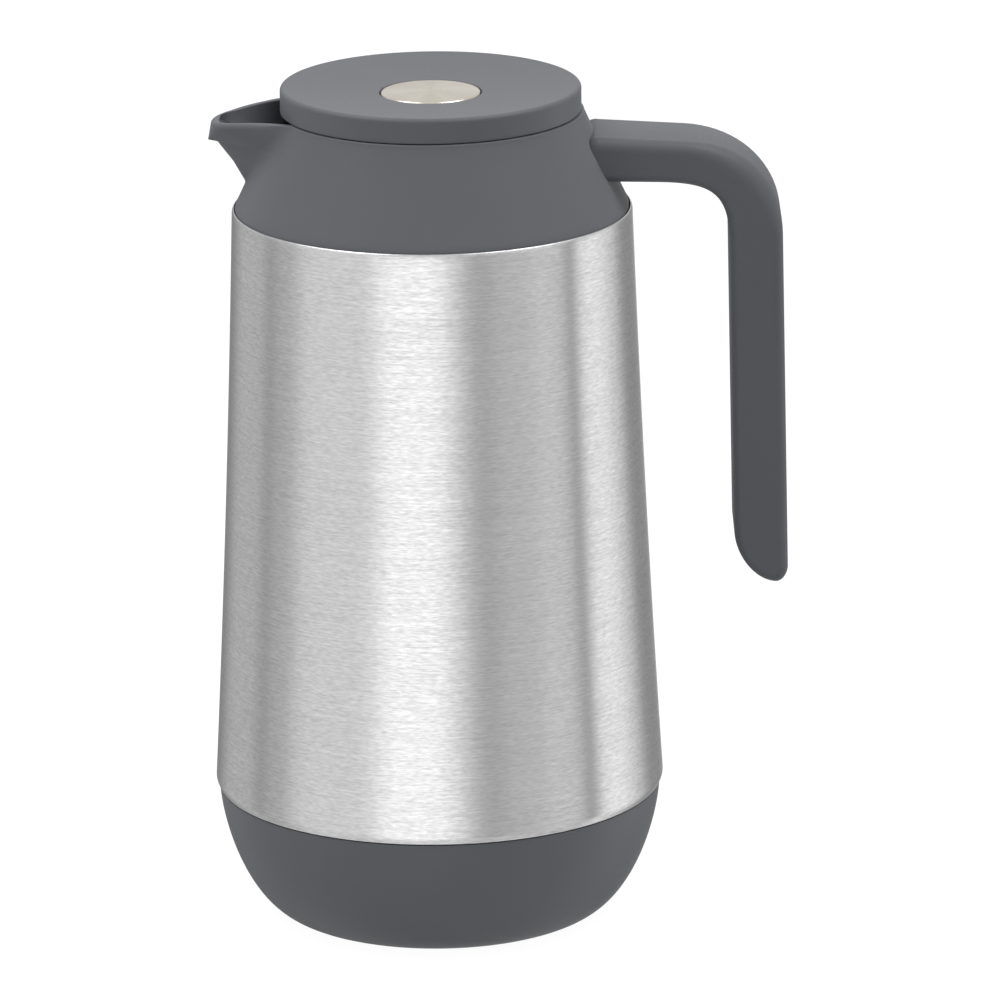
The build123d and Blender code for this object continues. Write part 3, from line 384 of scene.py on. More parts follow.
class SpringTree:
    """Geometry Nodes tree that winds a round wire into a spring."""

    STEPS_PER_TURN = 40
    STEPS_ROUND_WIRE = 14

    def __init__(self) -> None:
        """Build the tree with the spring's sizes as inputs."""
        self.tree = tree = bpy.data.node_groups.new("wound_spring", "GeometryNodeTree")
        face = tree.interface
        kinds = dict.fromkeys(("Turns", "Radius", "Length", "Foot", "Wire"), "NodeSocketFloat")
        kinds["Finish"] = "NodeSocketMaterial"
        self.ids = {}
        for name, kind in kinds.items():
            self.ids[name] = face.new_socket(name, in_out="INPUT", socket_type=kind).identifier
        face.new_socket("Geometry", in_out="OUTPUT", socket_type="NodeSocketGeometry")
        given = add_node(tree, "NodeGroupInput")
        helix = add_node(
            tree,
            "GeometryNodeCurveSpiral",
            {
                "Resolution": self.STEPS_PER_TURN,
                "Rotations": given["Turns"],
                "Start Radius": given["Radius"],
                "End Radius": given["Radius"],
                "Height": given["Length"],
            },
        )[0]
        lift = add_node(tree, "ShaderNodeCombineXYZ", {"Z": given["Foot"]})[0]
        raised = add_node(tree, "GeometryNodeTransform", {"Geometry": helix, "Translation": lift})[0]
        section = add_node(
            tree,
            "GeometryNodeCurvePrimitiveCircle",
            {"Resolution": self.STEPS_ROUND_WIRE, "Radius": given["Wire"]},
        )[0]
        wire = add_node(
            tree, "GeometryNodeCurveToMesh", {"Curve": raised, "Profile Curve": section, "Fill Caps": True}
        )[0]
        real = add_node(tree, "GeometryNodeRealizeInstances", {"Geometry": wire})[0]
        coat = {"Geometry": real, "Material": given["Finish"]}
        dressed = add_node(tree, "GeometryNodeSetMaterial", coat)[0]
        add_node(tree, "NodeGroupOutput", {"Geometry": dressed})

    def make(self, name: str, sizes: dict[str, float], finish: bpy.types.Material) -> bpy.types.Object:
        """Wind one spring.

        Args:
            name: Name of the piece.
            sizes: Input name to its value.
            finish: Material of the wire.

        Returns:
            The spring as a plain mesh object at the origin.
        """
        inputs = {self.ids[key]: value for key, value in sizes.items()}
        inputs[self.ids["Finish"]] = finish
        blank = add_object(name, bpy.data.meshes.new(name))
        return made_plain(blank, self.tree, inputs, sharp_degrees=60.0)


@dataclass(frozen=True)
class BrushedSteel:
    """Stainless steel, brushed or drawn: a satin metal that draws light out across its fine grooves."""

    name: str
    colour: str
    dark: str
    roughness: float
    stretch: float
    groove_mm: float
    streak_mm: float
    depth_mm: float
    brushing: Brushing = Brushing.LEVEL
    roughness_swing: float = 0.05
    drift_share: float = 0.35
    drift_scale: Place = (0.14, 0.14, 0.7)

    def material(self) -> bpy.types.Material:
        """Make the brushed finish, with its grooves level round Z or in rings about it."""
        made, tree = new_surface(self.name)
        fine, long = 1 / (self.groove_mm * MM), 1 / (self.streak_mm * MM)
        rings = self.brushing is Brushing.RINGS
        place = add_node(tree, "ShaderNodeTexCoord")["Object"]
        scale = (long, long, 0.0 if rings else fine)
        place = add_node(tree, "ShaderNodeVectorMath", {0: place, 1: scale}, operation="MULTIPLY")[0]
        if rings:
            reach = add_node(tree, "ShaderNodeVectorMath", {0: place}, operation="LENGTH")["Value"]
            step = {0: (0.0, 0.0, fine / long), "Scale": reach}
            across = add_node(tree, "ShaderNodeVectorMath", step, operation="SCALE")[0]
            place = add_node(tree, "ShaderNodeVectorMath", {0: place, 1: across}, operation="ADD")[0]
        grain = add_node(tree, "ShaderNodeTexNoise", {"Vector": place, "Scale": 1.0, "Detail": 2.0})["Fac"]
        broad = {0: place, 1: self.drift_scale}
        place = add_node(tree, "ShaderNodeVectorMath", broad, operation="MULTIPLY")[0]
        drift = add_node(tree, "ShaderNodeTexNoise", {"Vector": place, "Scale": 1.0, "Detail": 2.0})["Fac"]
        mixed = {0: self.drift_share, 2: grain, 3: drift}
        both = add_node(tree, "ShaderNodeMix", mixed, data_type="FLOAT")[0]
        tone = add_node(tree, "ShaderNodeMapRange", {"Value": both, **NOISE_SPAN})[0]
        tints = {0: tone, 6: linear(self.dark), 7: linear(self.colour)}
        dull, bright = self.roughness + self.roughness_swing, self.roughness - self.roughness_swing
        polish = {"Value": both, **NOISE_SPAN, "To Min": dull, "To Max": bright}
        grooves = {"Strength": 0.25, "Distance": self.depth_mm * MM, "Height": grain}
        surface = add_node(
            tree,
            "ShaderNodeBsdfPrincipled",
            {
                "Base Color": add_node(tree, "ShaderNodeMix", tints, data_type="RGBA")[2],
                "Metallic": 1.0,
                "Roughness": add_node(tree, "ShaderNodeMapRange", polish)[0],
                "Anisotropic": self.stretch,
                "Anisotropic Rotation": 0.25,
                "Normal": add_node(tree, "ShaderNodeBump", grooves)[0],
                "Tangent": add_node(tree, "ShaderNodeTangent", direction_type="RADIAL", axis="Z")[0],
            },
        )[0]
        add_node(tree, "ShaderNodeOutputMaterial", {"Surface": surface})
        return made


@dataclass(frozen=True)
class Moulding:
    """Moulded polymer: even colour with the fine grain of an eroded mould, and a soft broad gloss."""

    name: str
    colour: str
    worn: str
    roughness: float
    grain_mm: float = 0.35
    depth_mm: float = 0.012
    clear: float = 0.0
    sheen: float = 0.2
    drift_mm: float = 60.0
    roughness_swing: float = 0.05

    def material(self) -> bpy.types.Material:
        """Make the moulded finish: grain bump, slight drift of colour and gloss."""
        made, tree = new_surface(self.name)
        place = add_node(tree, "ShaderNodeTexCoord")["Object"]
        pits = {"Vector": place, "Scale": 1 / (self.grain_mm * MM), "Detail": 2.0, "Roughness": 0.6}
        grain = add_node(tree, "ShaderNodeTexNoise", pits)["Fac"]
        broad = {"Vector": place, "Scale": 1 / (self.drift_mm * MM), "Detail": 2.0}
        drift = add_node(tree, "ShaderNodeTexNoise", broad)["Fac"]
        tone = add_node(tree, "ShaderNodeMapRange", {"Value": drift, **NOISE_SPAN})[0]
        tints = {0: tone, 6: linear(self.colour), 7: linear(self.worn)}
        bright, dull = self.roughness - self.roughness_swing, self.roughness + self.roughness_swing
        polish = {"Value": grain, **NOISE_SPAN, "To Min": bright, "To Max": dull}
        bumps = {"Strength": 0.3, "Distance": self.depth_mm * MM, "Height": grain}
        surface = add_node(
            tree,
            "ShaderNodeBsdfPrincipled",
            {
                "Base Color": add_node(tree, "ShaderNodeMix", tints, data_type="RGBA")[2],
                "Roughness": add_node(tree, "ShaderNodeMapRange", polish)[0],
                "IOR": 1.49,
                "Specular IOR Level": self.sheen,
                "Normal": add_node(tree, "ShaderNodeBump", bumps)[0],
                "Subsurface Weight": self.clear,
                "Subsurface Scale": 2 * MM,
            },
        )[0]
        add_node(tree, "ShaderNodeOutputMaterial", {"Surface": surface})
        return made


@dataclass(frozen=True)
class Silvering:
    """Blown glass, silvered on its hidden side: a bright mirror with the faint waves of blowing."""

    name: str
    colour: str
    roughness: float
    wave_mm: float = 25.0
    depth_mm: float = 0.3

    def material(self) -> bpy.types.Material:
        """Make the silvered glass, with a clear coat for the glass before its silver."""
        made, tree = new_surface(self.name)
        place = add_node(tree, "ShaderNodeTexCoord")["Object"]
        waves = {"Vector": place, "Scale": 1 / (self.wave_mm * MM), "Detail": 2.0}
        height = add_node(tree, "ShaderNodeTexNoise", waves)["Fac"]
        swell = {"Strength": 0.3, "Distance": self.depth_mm * MM, "Height": height}
        surface = add_node(
            tree,
            "ShaderNodeBsdfPrincipled",
            {
                "Base Color": linear(self.colour),
                "Metallic": 1.0,
                "Roughness": self.roughness,
                "Normal": add_node(tree, "ShaderNodeBump", swell)[0],
                "Coat Weight": 0.6,
                "Coat Roughness": 0.02,
            },
        )[0]
        add_node(tree, "ShaderNodeOutputMaterial", {"Surface": surface})
        return made


class Finishes:
    """All the finishes of the jug, made once."""

    def __init__(self) -> None:
        """Make every material from its finish."""
        # Stainless sheet, belt-brushed round the sleeve: upright bands of light with soft edges, and
        # level streaks. Its grooves of about 0.05 mm are too fine to show and are drawn 0.4 mm high.
        self.sleeve = BrushedSteel(
            "brushed_stainless_sleeve", "#d2d2d2", "#b1b1b1", 0.34, 0.85, 0.4, 2.3, 0.02
        ).material()
        # Stamped disc, brushed in rings: light fans out from its middle. The rings are drawn 0.22 mm wide,
        # four times the real ones, so that they show.
        self.button = BrushedSteel(
            "ring_brushed_button_steel", "#d3ccbe", "#c8c1b4", 0.24, 0.85, 0.22, 14.0, 0.01, Brushing.RINGS
        ).material()
        # Wire and rod drawn through a die: plain satin steel, its drawing lines as coarse as they show
        self.plain_steel = BrushedSteel(
            "drawn_steel", "#b4b3b1", "#a09f9d", 0.34, 0.3, 0.3, 3.0, 0.01
        ).material()
        # Polypropylene from an eroded mould: even cool grey without glints. The mould's grain of about
        # 0.05 mm is drawn 0.35 mm wide, here and on the parts below, to show at all.
        self.grey = Moulding("matt_grey_polypropylene", "#66686c", "#696b6f", 0.46).material()
        # The same plastic on the handle, coloured a shade darker as painted shade, for dimmer light on the
        # handle
        self.grip = Moulding("grip_polypropylene_painted_shade", "#5f6165", "#626468", 0.46).material()
        # Moulded ABS of the working parts: dark grey, a little duller than the outside
        self.dark = Moulding("matt_dark_grey_abs", "#3b3d40", "#3f4144", 0.5).material()
        # Pressed mineral felt between the glass walls: chalky, pale and coarse
        self.spacer = Moulding("pressed_mineral_pad", "#a3a29c", "#adaca6", 0.8, 0.8, 0.05).material()
        # Moulded silicone: milky, because light goes a little way into it
        self.silicone = Moulding(
            "translucent_silicone", "#c6c5bf", "#cccbc5", 0.4, 0.5, 0.01, 0.4
        ).material()
        # Moulded EPDM rubber: nearly black and dull
        self.rubber = Moulding("black_epdm_rubber", "#1d1d1e", "#242425", 0.62, 0.4, 0.02).material()
        # Blown glass, silvered from behind: a mirror with slow waves a few centimetres across
        self.silvered = Silvering("silvered_blown_glass", "#e6e8e9", 0.04).material()


@dataclass
class Sleeve:
    """Tapered steel sleeve with a rolled foot and a rounded lip."""

    foot_radius: float = 65.4
    foot_round: float = 0.42
    knee_radius: float = 66.23
    top_radius: float = 58.4
    hollow: float = 0.6
    wall: float = 0.6
    foot_z: float = 38.9
    knee_z: float = 40.8
    top_z: float = 213.4
    knee_bend: float = 3.0
    lip_width: float = 0.5
    lip_height: float = 1.4
    rises: int = 12
    lip_steps: int = 8
    steps_around: int = 224

    def radius(self, z: float) -> float:
        """Outer radius above the knee: a cone, drawn in a little halfway up.

        Args:
            z: Height in millimetres.

        Returns:
            The radius in millimetres.
        """
        share = (z - self.knee_z) / (self.top_z - self.knee_z)
        cone = self.knee_radius + (self.top_radius - self.knee_radius) * share
        return cone - 4 * self.hollow * share * (1 - share)

    def outline(self) -> list[Point]:
        """Outline of the sheet, in (radius, height), from its foot up the outside and down the inside."""
        low, high = self.knee_z + self.knee_bend, self.top_z - self.lip_height
        heights = evenly(low, high, self.rises)
        edge = self.radius(high) - self.lip_width
        corners = [
            (self.foot_radius - self.wall, self.foot_z, 0.0),
            (self.foot_radius, self.foot_z, self.foot_round),
            (self.knee_radius, self.knee_z, self.knee_bend),
        ]
        corners += [(self.radius(z), z, 0.0) for z in heights]
        corners += [
            (edge + self.lip_width * math.cos(a), high + self.lip_height * math.sin(a), 0.0)
            for a in evenly(0.0, QUARTER, self.lip_steps)[1:]
        ]
        inner = [(self.radius(z) - self.wall, z, 0.0) for z in reversed(heights)]
        corners += [(inner[0][0], self.top_z, 0.0)] + inner
        corners.append((self.knee_radius - self.wall, self.knee_z, self.knee_bend - self.wall))
        return rounded(corners)

    def build(self, turned: TurnedTree, finishes: Finishes) -> bpy.types.Object:
        """Make the sleeve and hang it on the jug's body.

        Args:
            turned: Tree that turns outlines.
            finishes: The jug's finishes.

        Returns:
            The finished sleeve.
        """
        piece = turned.make("steel_sleeve", self.outline(), self.steps_around, finishes.sleeve)
        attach(piece, Body.JUG.value)
        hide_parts("body_sleeve")
        return piece


@dataclass
class BaseCup:
    """Moulded base: full curve from the foot to an upright edge, ledge and upstand inside the sleeve."""

    foot_radius: float = 43.0
    top_radius: float = 65.2
    height: float = 38.6
    flare: float = 1.54
    fullness: float = 1.92
    wall: float = 2.6
    floor: float = 2.8
    ring_width: float = 6.0
    ring_round: float = 0.3
    recess: float = 1.2
    edge_round: float = 0.4
    upstand_radius: float = 61.1
    upstand_wall: float = 2.2
    upstand_top: float = 48.6
    ledge: float = 2.5
    rises: int = 40
    longest_run: float = 12.0
    edge_run: float = 0.4
    steps_around: int = 192

    def radius(self, z: float) -> float:
        """Outer radius at a height.

        Args:
            z: Height in millimetres.

        Returns:
            The radius in millimetres.
        """
        rest = 1 - z / self.height
        swell = (1 - rest**self.flare) ** (1 / self.fullness)
        return self.foot_radius + (self.top_radius - self.foot_radius) * swell

    def outline(self) -> list[Point]:
        """Outline from the middle of the foot round the outside and back down the inside."""
        heights = [self.height * (1 - math.cos(a)) / 2 for a in evenly(0.0, math.pi, self.rises)]
        ledge_z, soft = self.height - self.ledge, self.edge_round
        outside = [(self.radius(z), z) for z in heights[1:-1]]
        edge = arc_points((self.top_radius - soft, self.height - soft), soft, 0.0, QUARTER, 5)
        inside = [(self.radius(z) - self.wall, z) for z in reversed(heights) if self.floor < z < ledge_z]
        ring = self.foot_radius - self.ring_width
        foot = [(0.0, self.recess), (ring, self.recess), (ring, self.ring_round)]
        foot += [(ring + self.ring_round, 0.0), (self.foot_radius - 2 * self.ring_round, 0.0)]
        upstand_in = self.upstand_radius - self.upstand_wall
        upstand = [(self.upstand_radius, self.height), (self.upstand_radius, self.upstand_top)]
        upstand += [(upstand_in, self.upstand_top), (upstand_in, ledge_z)]
        line = foot + outside + edge + upstand + inside + [(0.0, self.floor)]
        return spaced(line, self.longest_run, self.edge_run, closed=False)

    def build(self, turned: TurnedTree, finishes: Finishes) -> bpy.types.Object:
        """Make the base and hang it on the jug's body.

        Args:
            turned: Tree that turns outlines.
            finishes: The jug's finishes.

        Returns:
            The finished base.
        """
        piece = turned.make("base_moulding", self.outline(), self.steps_around, finishes.grey)
        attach(piece, Body.JUG.value)
        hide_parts("base_cup")
        return piece


@dataclass
class LidCover:
    """Round lid: shallow dish on top, soft rim, skirt ring and the button's tube."""

    radius: float = 43.8
    top_z: float = 249.72
    foot_z: float = 242.24
    dish: float = 2.55
    wall: float = 2.2
    top_round: float = 1.2
    rim_share: float = 1.02
    foot_round: float = 0.25
    hole: float = 14.9
    hole_round: float = 0.35
    hole_bevel: float = 0.1
    tube_wall: float = 1.8
    tube_z: float = 242.97
    ring_radius: float = 39.2
    ring_wall: float = 1.5
    ring_drop: float = 3.0
    runs: int = 26
    longest_run: float = 10.0
    edge_run: float = 0.35
    steps_around: int = 192

    def dish_z(self, radius: float) -> float:
        """Height of the dished top at a radius."""
        return self.top_z - self.dish * (1 - (radius / self.radius) ** 2)

    def under_z(self, radius: float) -> float:
        """Height of the dished top's underside at a radius."""
        return self.dish_z(radius) - self.wall

    def outline(self) -> list[Point]:
        """Closed outline from the button hole over the top to the rim and back under."""
        reach = self.radius - self.top_round * self.rim_share
        hole_z, bevel = self.dish_z(self.hole), self.hole_bevel
        top = [(self.hole, hole_z - self.hole_round), (self.hole + bevel, hole_z - bevel)]
        top += [(r, self.dish_z(r)) for r in evenly(self.hole + self.hole_round, reach, self.runs)]
        slope = math.atan(2 * self.dish * reach / self.radius**2)
        centre = (self.radius - self.top_round, self.dish_z(reach) - self.top_round * math.cos(slope))
        rim = arc_points(centre, self.top_round, QUARTER + slope, 0.0, 9)[1:]
        centre = (self.radius - self.foot_round, self.foot_z + self.foot_round)
        foot = arc_points(centre, self.foot_round, 0.0, -QUARTER, 5)
        inside = self.radius - self.wall
        ring, ring_in = self.ring_radius, self.ring_radius - self.ring_wall
        ring_z = self.foot_z - self.ring_drop
        tube = self.hole + self.tube_wall
        under = [(inside, self.foot_z), (inside, self.under_z(inside)), (ring, self.under_z(ring))]
        under += [(ring, ring_z), (ring_in, ring_z), (ring_in, self.under_z(ring_in))]
        under += [(tube, self.under_z(tube)), (tube, self.tube_z), (self.hole, self.tube_z)]
        return spaced(top + rim + foot + under, self.longest_run, self.edge_run)

    def build(self, turned: TurnedTree, finishes: Finishes) -> bpy.types.Object:
        """Make the lid and hang it on the lid's body.

        Args:
            turned: Tree that turns outlines.
            finishes: The jug's finishes.

        Returns:
            The finished lid.
        """
        piece = turned.make("lid_moulding", self.outline(), self.steps_around, finishes.grey)
        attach(piece, Body.LID.value)
        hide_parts("lid_cover")
        return piece


@dataclass
class ButtonDisc:
    """Stamped steel disc of the push button, low crown and turned-down edge."""

    radius: float = 14.6
    top_z: float = 247.6
    sink: float = 0.01
    crown: float = 0.5
    edge_round: float = 0.75
    sheet: float = 0.8
    skirt: float = 2.6
    runs: int = 18
    longest_run: float = 8.0
    edge_run: float = 0.3
    steps_around: int = 128

    def outline(self) -> list[Point]:
        """Outline from the crown over the edge and back to the middle below."""
        reach, inner = self.radius - self.edge_round, self.radius - self.sheet
        foot_z, under_z = self.top_z - self.skirt, self.top_z - self.sheet
        shares = evenly(0.0, 1.0, self.runs)
        top = [(reach * s, self.top_z + self.crown * (1 - s**2) - self.sink) for s in shares]
        centre = (reach, self.top_z - self.sink - self.edge_round)
        edge = arc_points(centre, self.edge_round, QUARTER, 0.0, 7)[1:]
        rest = [(self.radius, foot_z), (inner, foot_z), (inner, under_z), (0.0, under_z)]
        return spaced(top + edge + rest, self.longest_run, self.edge_run, closed=False)

    def build(self, turned: TurnedTree, finishes: Finishes) -> bpy.types.Object:
        """Make the disc and hang it on the button's body.

        Args:
            turned: Tree that turns outlines.
            finishes: The jug's finishes.

        Returns:
            The finished disc.
        """
        piece = turned.make("button_disc", self.outline(), self.steps_around, finishes.button)
        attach(piece, Body.BUTTON.value)
        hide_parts("button_cap")
        return piece


@dataclass
class ReturnSpring:
    """Spring that lifts the button; in the jug it shortens as the button goes down, here it rides with the
    button unchanged.
    """

    foot_z: float = 224.97
    length: float = 16.2
    radius: float = 7.4
    wire: float = 1.0
    turns: float = 5.5
    travel: float = 4.0

    def build(self, wound: SpringTree, finishes: Finishes) -> bpy.types.Object:
        """Wind the spring and hang it on the button's body.

        Args:
            wound: Tree that winds springs.
            finishes: The jug's finishes.

        Returns:
            The finished spring.
        """
        sizes = {
            "Turns": self.turns,
            "Radius": self.radius * MM,
            "Length": (self.length - self.wire) * MM,
            "Foot": (self.foot_z + self.wire / 2) * MM,
            "Wire": self.wire / 2 * MM,
        }
        piece = wound.make("return_spring", sizes, finishes.plain_steel)
        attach(piece, Body.BUTTON.value)
        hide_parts("button_spring")
        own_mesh(piece)
        return piece


@dataclass(frozen=True)
class SpoutLevel:
    """One level section of the spout: a V with a rounded nose."""

    drop: float
    reach: float
    apex: float
    half_angle: float
    bulge: float = 0.0

    def radius(self, side: float) -> float:
        """Distance from the jug's axis to the section's outline.

        Args:
            side: Angle from the spout's middle, in radians, 0 or more.

        Returns:
            The distance in millimetres.
        """
        angle = math.radians(self.half_angle)
        nose = (self.apex - self.reach) * math.sin(angle) / (1 - math.sin(angle))
        middle = self.reach - nose
        touch = math.atan2(nose * math.cos(angle), middle + nose * math.sin(angle))
        swell = self.bulge * math.sin(math.pi * min(side / SPOUT_SPREAD, 1.0))
        if side < touch:
            across = middle * math.sin(side)
            return middle * math.cos(side) + math.sqrt(max(0.0, nose * nose - across * across)) + swell
        return self.apex * math.sin(angle) / math.sin(side + angle) + swell


def smooth_max(a: float, b: float, blend: float) -> float:
    """Larger of two values, with a soft passage between them of a width."""
    near = max(blend - abs(a - b), 0.0) / blend
    return max(a, b) + near * near * blend / 4


@dataclass
class Collar:
    """Moulded cone with the rim, the pouring spout and the open trough behind it."""

    foot_z: float = 213.42
    top_z: float = 242.02
    foot_radius: float = 57.68
    shoulder_radius: float = 46.5
    shoulder_drop: float = 4.9
    rim_radius: float = 44.3
    skirt: float = 10.0
    wall: float = 2.4
    lip_radius: float = 39.9
    lip_z: float = 240.52
    bowl_radius: float = 41.95
    floor_z: float = 224.02
    lip_drop: float = 8.1
    lip_step: float = 0.15
    tip_fall: float = 2.3
    rim_round: float = 0.4
    spout_round: float = 1.5
    inner_round: float = 0.4
    inner_drop: float = 0.9
    crest_step: float = 0.05
    blend: float = 0.9
    keel_blend: float = 0.35
    flank_blend: float = 2.9
    flank_drop: float = 19.5
    # Past this angle from the spout's middle, in radians, the collar is a plain cone
    spout_side: float = 1.35
    # Over this first part of the spout the rim's rounding grows to the spout's
    round_share: float = 0.25
    # The cone's corners are softened by a mean over this height to either side
    corner_soft: float = 1.5
    levels: tuple[SpoutLevel, ...] = (
        SpoutLevel(28.0, 49.6, 50.2, 48.0),
        SpoutLevel(21.3, 53.9, 54.2, 48.0),
        SpoutLevel(14.6, 57.6, 58.6, 46.0),
        SpoutLevel(8.1, 62.4, 65.3, 38.0, 0.4),
    )
    lip_levels: tuple[SpoutLevel, ...] = (
        SpoutLevel(8.1, 64.9, 65.3, 38.0, 0.4),
        SpoutLevel(0.0, 63.3, 76.4, 27.8, 1.2),
    )
    spout_wall: float = 2.4
    keel_wall: float = 3.2
    nose_least: float = 0.3
    hair: float = 0.001
    # Rows of points below the foot's edge, and the half height of the close rows at the spout's lip
    foot_rows: Point = (2.2, 1.6)
    lip_rows: float = 0.6

    def _level(self, drop: float, inset: float = 0.0) -> SpoutLevel:
        """Section at a depth below the rim, moved in by a wall.

        Args:
            drop: Depth below the rim.
            inset: Thickness of the wall at the nose; 0 gives the outside.

        Returns:
            The section.
        """
        levels = self.lip_levels if drop < self.lip_drop else self.levels
        kept = min(max(drop, levels[-1].drop), levels[0].drop)
        a, b = next(pair for pair in zip(levels, levels[1:]) if pair[1].drop <= kept <= pair[0].drop)
        share = (a.drop - kept) / (a.drop - b.drop)
        ends = ((a.reach, b.reach), (a.apex, b.apex), (a.half_angle, b.half_angle), (a.bulge, b.bulge))
        reach, apex, angle, bulge = (first + (last - first) * share for first, last in ends)
        if inset > 0:
            apex -= self.spout_wall / math.sin(math.radians(angle))
            reach = min(reach - inset, apex - self.nose_least)
        return SpoutLevel(drop, reach, apex, angle, bulge)

    def cone(self, z: float) -> float:
        """Outer radius of the collar without its spout.

        Args:
            z: Height in millimetres.

        Returns:
            The radius, as a mean over the heights nearby.
        """
        corners = [
            (self.foot_radius, self.foot_z - self.skirt),
            (self.foot_radius, self.foot_z),
            (self.shoulder_radius, self.top_z - self.shoulder_drop),
            (self.rim_radius, self.top_z),
        ]
        found = []
        for shift in evenly(-self.corner_soft, self.corner_soft, 12):
            at = min(max(z + shift, corners[0][1]), corners[-1][1])
            (r0, z0), (r1, z1) = next(p for p in zip(corners, corners[1:]) if p[0][1] <= at <= p[1][1])
            found.append(r0 + (r1 - r0) * (at - z0) / (z1 - z0))
        return sum(found) / len(found)

    def outside(self, z: float, side: float) -> float:
        """Outer radius of the moulding.

        Args:
            z: Height in millimetres.
            side: Angle from the spout's middle, in radians, 0 or more.

        Returns:
            The radius in millimetres.
        """
        drop = self.top_z - z
        if side > self.spout_side or drop > self.levels[0].drop:
            return self.cone(z)
        share = clamped((self.lip_drop + self.lip_step / 2 - drop) / self.lip_step)
        share = share * share * (3 - 2 * share)
        blend = self.blend + (self.keel_blend - self.blend) * min(drop / self.flank_drop, 1.0)
        blend += self.flank_blend * math.sin(math.pi * clamped(drop / self.flank_drop))
        below = self._level(max(drop, self.lip_drop + self.hair)).radius(side)
        above = self._level(min(drop, self.lip_drop - self.hair)).radius(side)
        return smooth_max(self.cone(z), below + (above - below) * share, blend)

    def trough(self, z: float, side: float) -> float:
        """Radius of the trough's wall.

        Args:
            z: Height in millimetres.
            side: Angle from the spout's middle, in radians, 0 or more.

        Returns:
            The radius in millimetres, 0 away from the spout.
        """
        if side > self.spout_side:
            return 0.0
        drop = self.top_z - z
        wall = self.spout_wall if drop < self.lip_drop else self.keel_wall
        return self._level(max(drop, 0.0), wall).radius(side)

    def along_spout(self, radius: float, side: float) -> float:
        """How far out along the spout a place is, from 0 at the round rim to 1 at the tip."""
        out = radius * math.cos(side) - self.rim_radius
        return clamped(out / (self.lip_levels[0].reach - self.rim_radius))

    def rim_z(self, radius: float, side: float) -> float:
        """Height of the rim, which falls along the spout to its tip."""
        return self.top_z - self.tip_fall * self.along_spout(radius, side) ** 2

    def cavity(self, z: float) -> float:
        """Radius of the space inside the collar, below its lip."""
        share = max((z - self.foot_z) / (self.lip_z - self.foot_z), 0.0)
        return self.foot_radius - self.wall + (self.bowl_radius - self.foot_radius + self.wall) * share

    def column(self, around: float) -> list[Vector]:
        """Points of the moulding's section at an angle from the spout's middle.

        Args:
            around: Signed angle in radians.

        Returns:
            Points from the skirt's foot up the outside, over the rim and down the inside.
        """
        side = abs(around)
        top = self.rim_z(self.outside(self.top_z, side), side)
        top = self.rim_z(self.outside(top, side), side)
        share = min(self.along_spout(self.outside(top, side), side) / self.round_share, 1.0)
        curl = self.rim_round + (self.spout_round - self.rim_round) * share
        start = top - curl
        skirt_z, step_z = self.foot_z - self.skirt, self.top_z - self.lip_drop
        low, high = step_z - self.lip_rows, step_z + self.lip_rows
        heights = [skirt_z, self.foot_z - self.skirt / 2, self.foot_z - self.foot_rows[0]]
        heights += evenly(self.foot_z - self.foot_rows[1], low, 22)
        heights += evenly(low, high, 12)[1:] + evenly(high, start, 8)[1:]
        line = [(self.outside(z, side), z) for z in heights]
        edge = line[-1][0]
        turns = evenly(0.0, QUARTER, 6)[1:]
        line += [(edge - curl * (1 - math.cos(a)), start + curl * math.sin(a)) for a in turns]
        inner = max(self.lip_radius, self.trough(top, side))
        soft = self.inner_round
        crest = max(edge - curl - self.crest_step, inner + soft)
        line += [(crest, top), ((crest + inner + soft) / 2, top)]
        turns = evenly(0.0, QUARTER, 4)
        line += [(inner + soft * (1 - math.sin(a)), top - soft * (1 - math.cos(a))) for a in turns]
        upper = (top - self.inner_drop, self.lip_z)
        line += [(max(self.lip_radius, self.trough(z, side)), z) for z in upper]
        lower = evenly(self.lip_z, self.floor_z, 12)
        line += [(max(self.cavity(z), self.trough(z, side)), z) for z in lower]
        line += [(self.cavity(self.floor_z), self.floor_z), (self.cavity(self.foot_z), self.foot_z)]
        line += [(self.foot_radius - self.wall, skirt_z), line[0]]
        turn = math.pi - around
        return [Vector((r * math.cos(turn), r * math.sin(turn), z)) for r, z in line]

    def build(self, finishes: Finishes) -> bpy.types.Object:
        """Make the collar and hang it on the jug's body.

        Args:
            finishes: The jug's finishes.

        Returns:
            The finished collar.
        """
        # Close columns at the spout, wider ones towards the handle
        degrees = evenly(0, 10, 20) + evenly(10, 65, 55)[1:] + evenly(65, 177.5, 45)[1:]
        degrees += [-angle for angle in reversed(degrees[1:-1])]
        mesh = grid_mesh("collar_moulding", [self.column(math.radians(angle)) for angle in degrees])
        tidy_mesh(mesh, sharp_degrees=42.0)
        mesh.materials.append(finishes.grey)
        piece = add_object("collar_moulding", mesh)
        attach(piece, Body.JUG.value)
        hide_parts("collar")
        return piece


@dataclass(frozen=True)
class EasedCorner:
    """Corner of the handle's side view: how far its curve reaches each way, and how full it is."""

    x: float
    z: float
    back: float
    ahead: float
    fullness: float

    def points(self, before: "EasedCorner", after: "EasedCorner", steps: int) -> list[Point]:
        """Points along the corner's curve.

        Args:
            before: Corner that comes before this one.
            after: Corner that comes after it.
            steps: Number of runs the curve is cut into.

        Returns:
            The points, both ends included.
        """
        here = Vector((self.x, self.z))
        first = here + (Vector((before.x, before.z)) - here).normalized() * self.back
        last = here + (Vector((after.x, after.z)) - here).normalized() * self.ahead
        pull_first, pull_last = first.lerp(here, self.fullness), last.lerp(here, self.fullness)
        return [(p.x, p.y) for p in interpolate_bezier(first, pull_first, pull_last, last, steps + 1)]


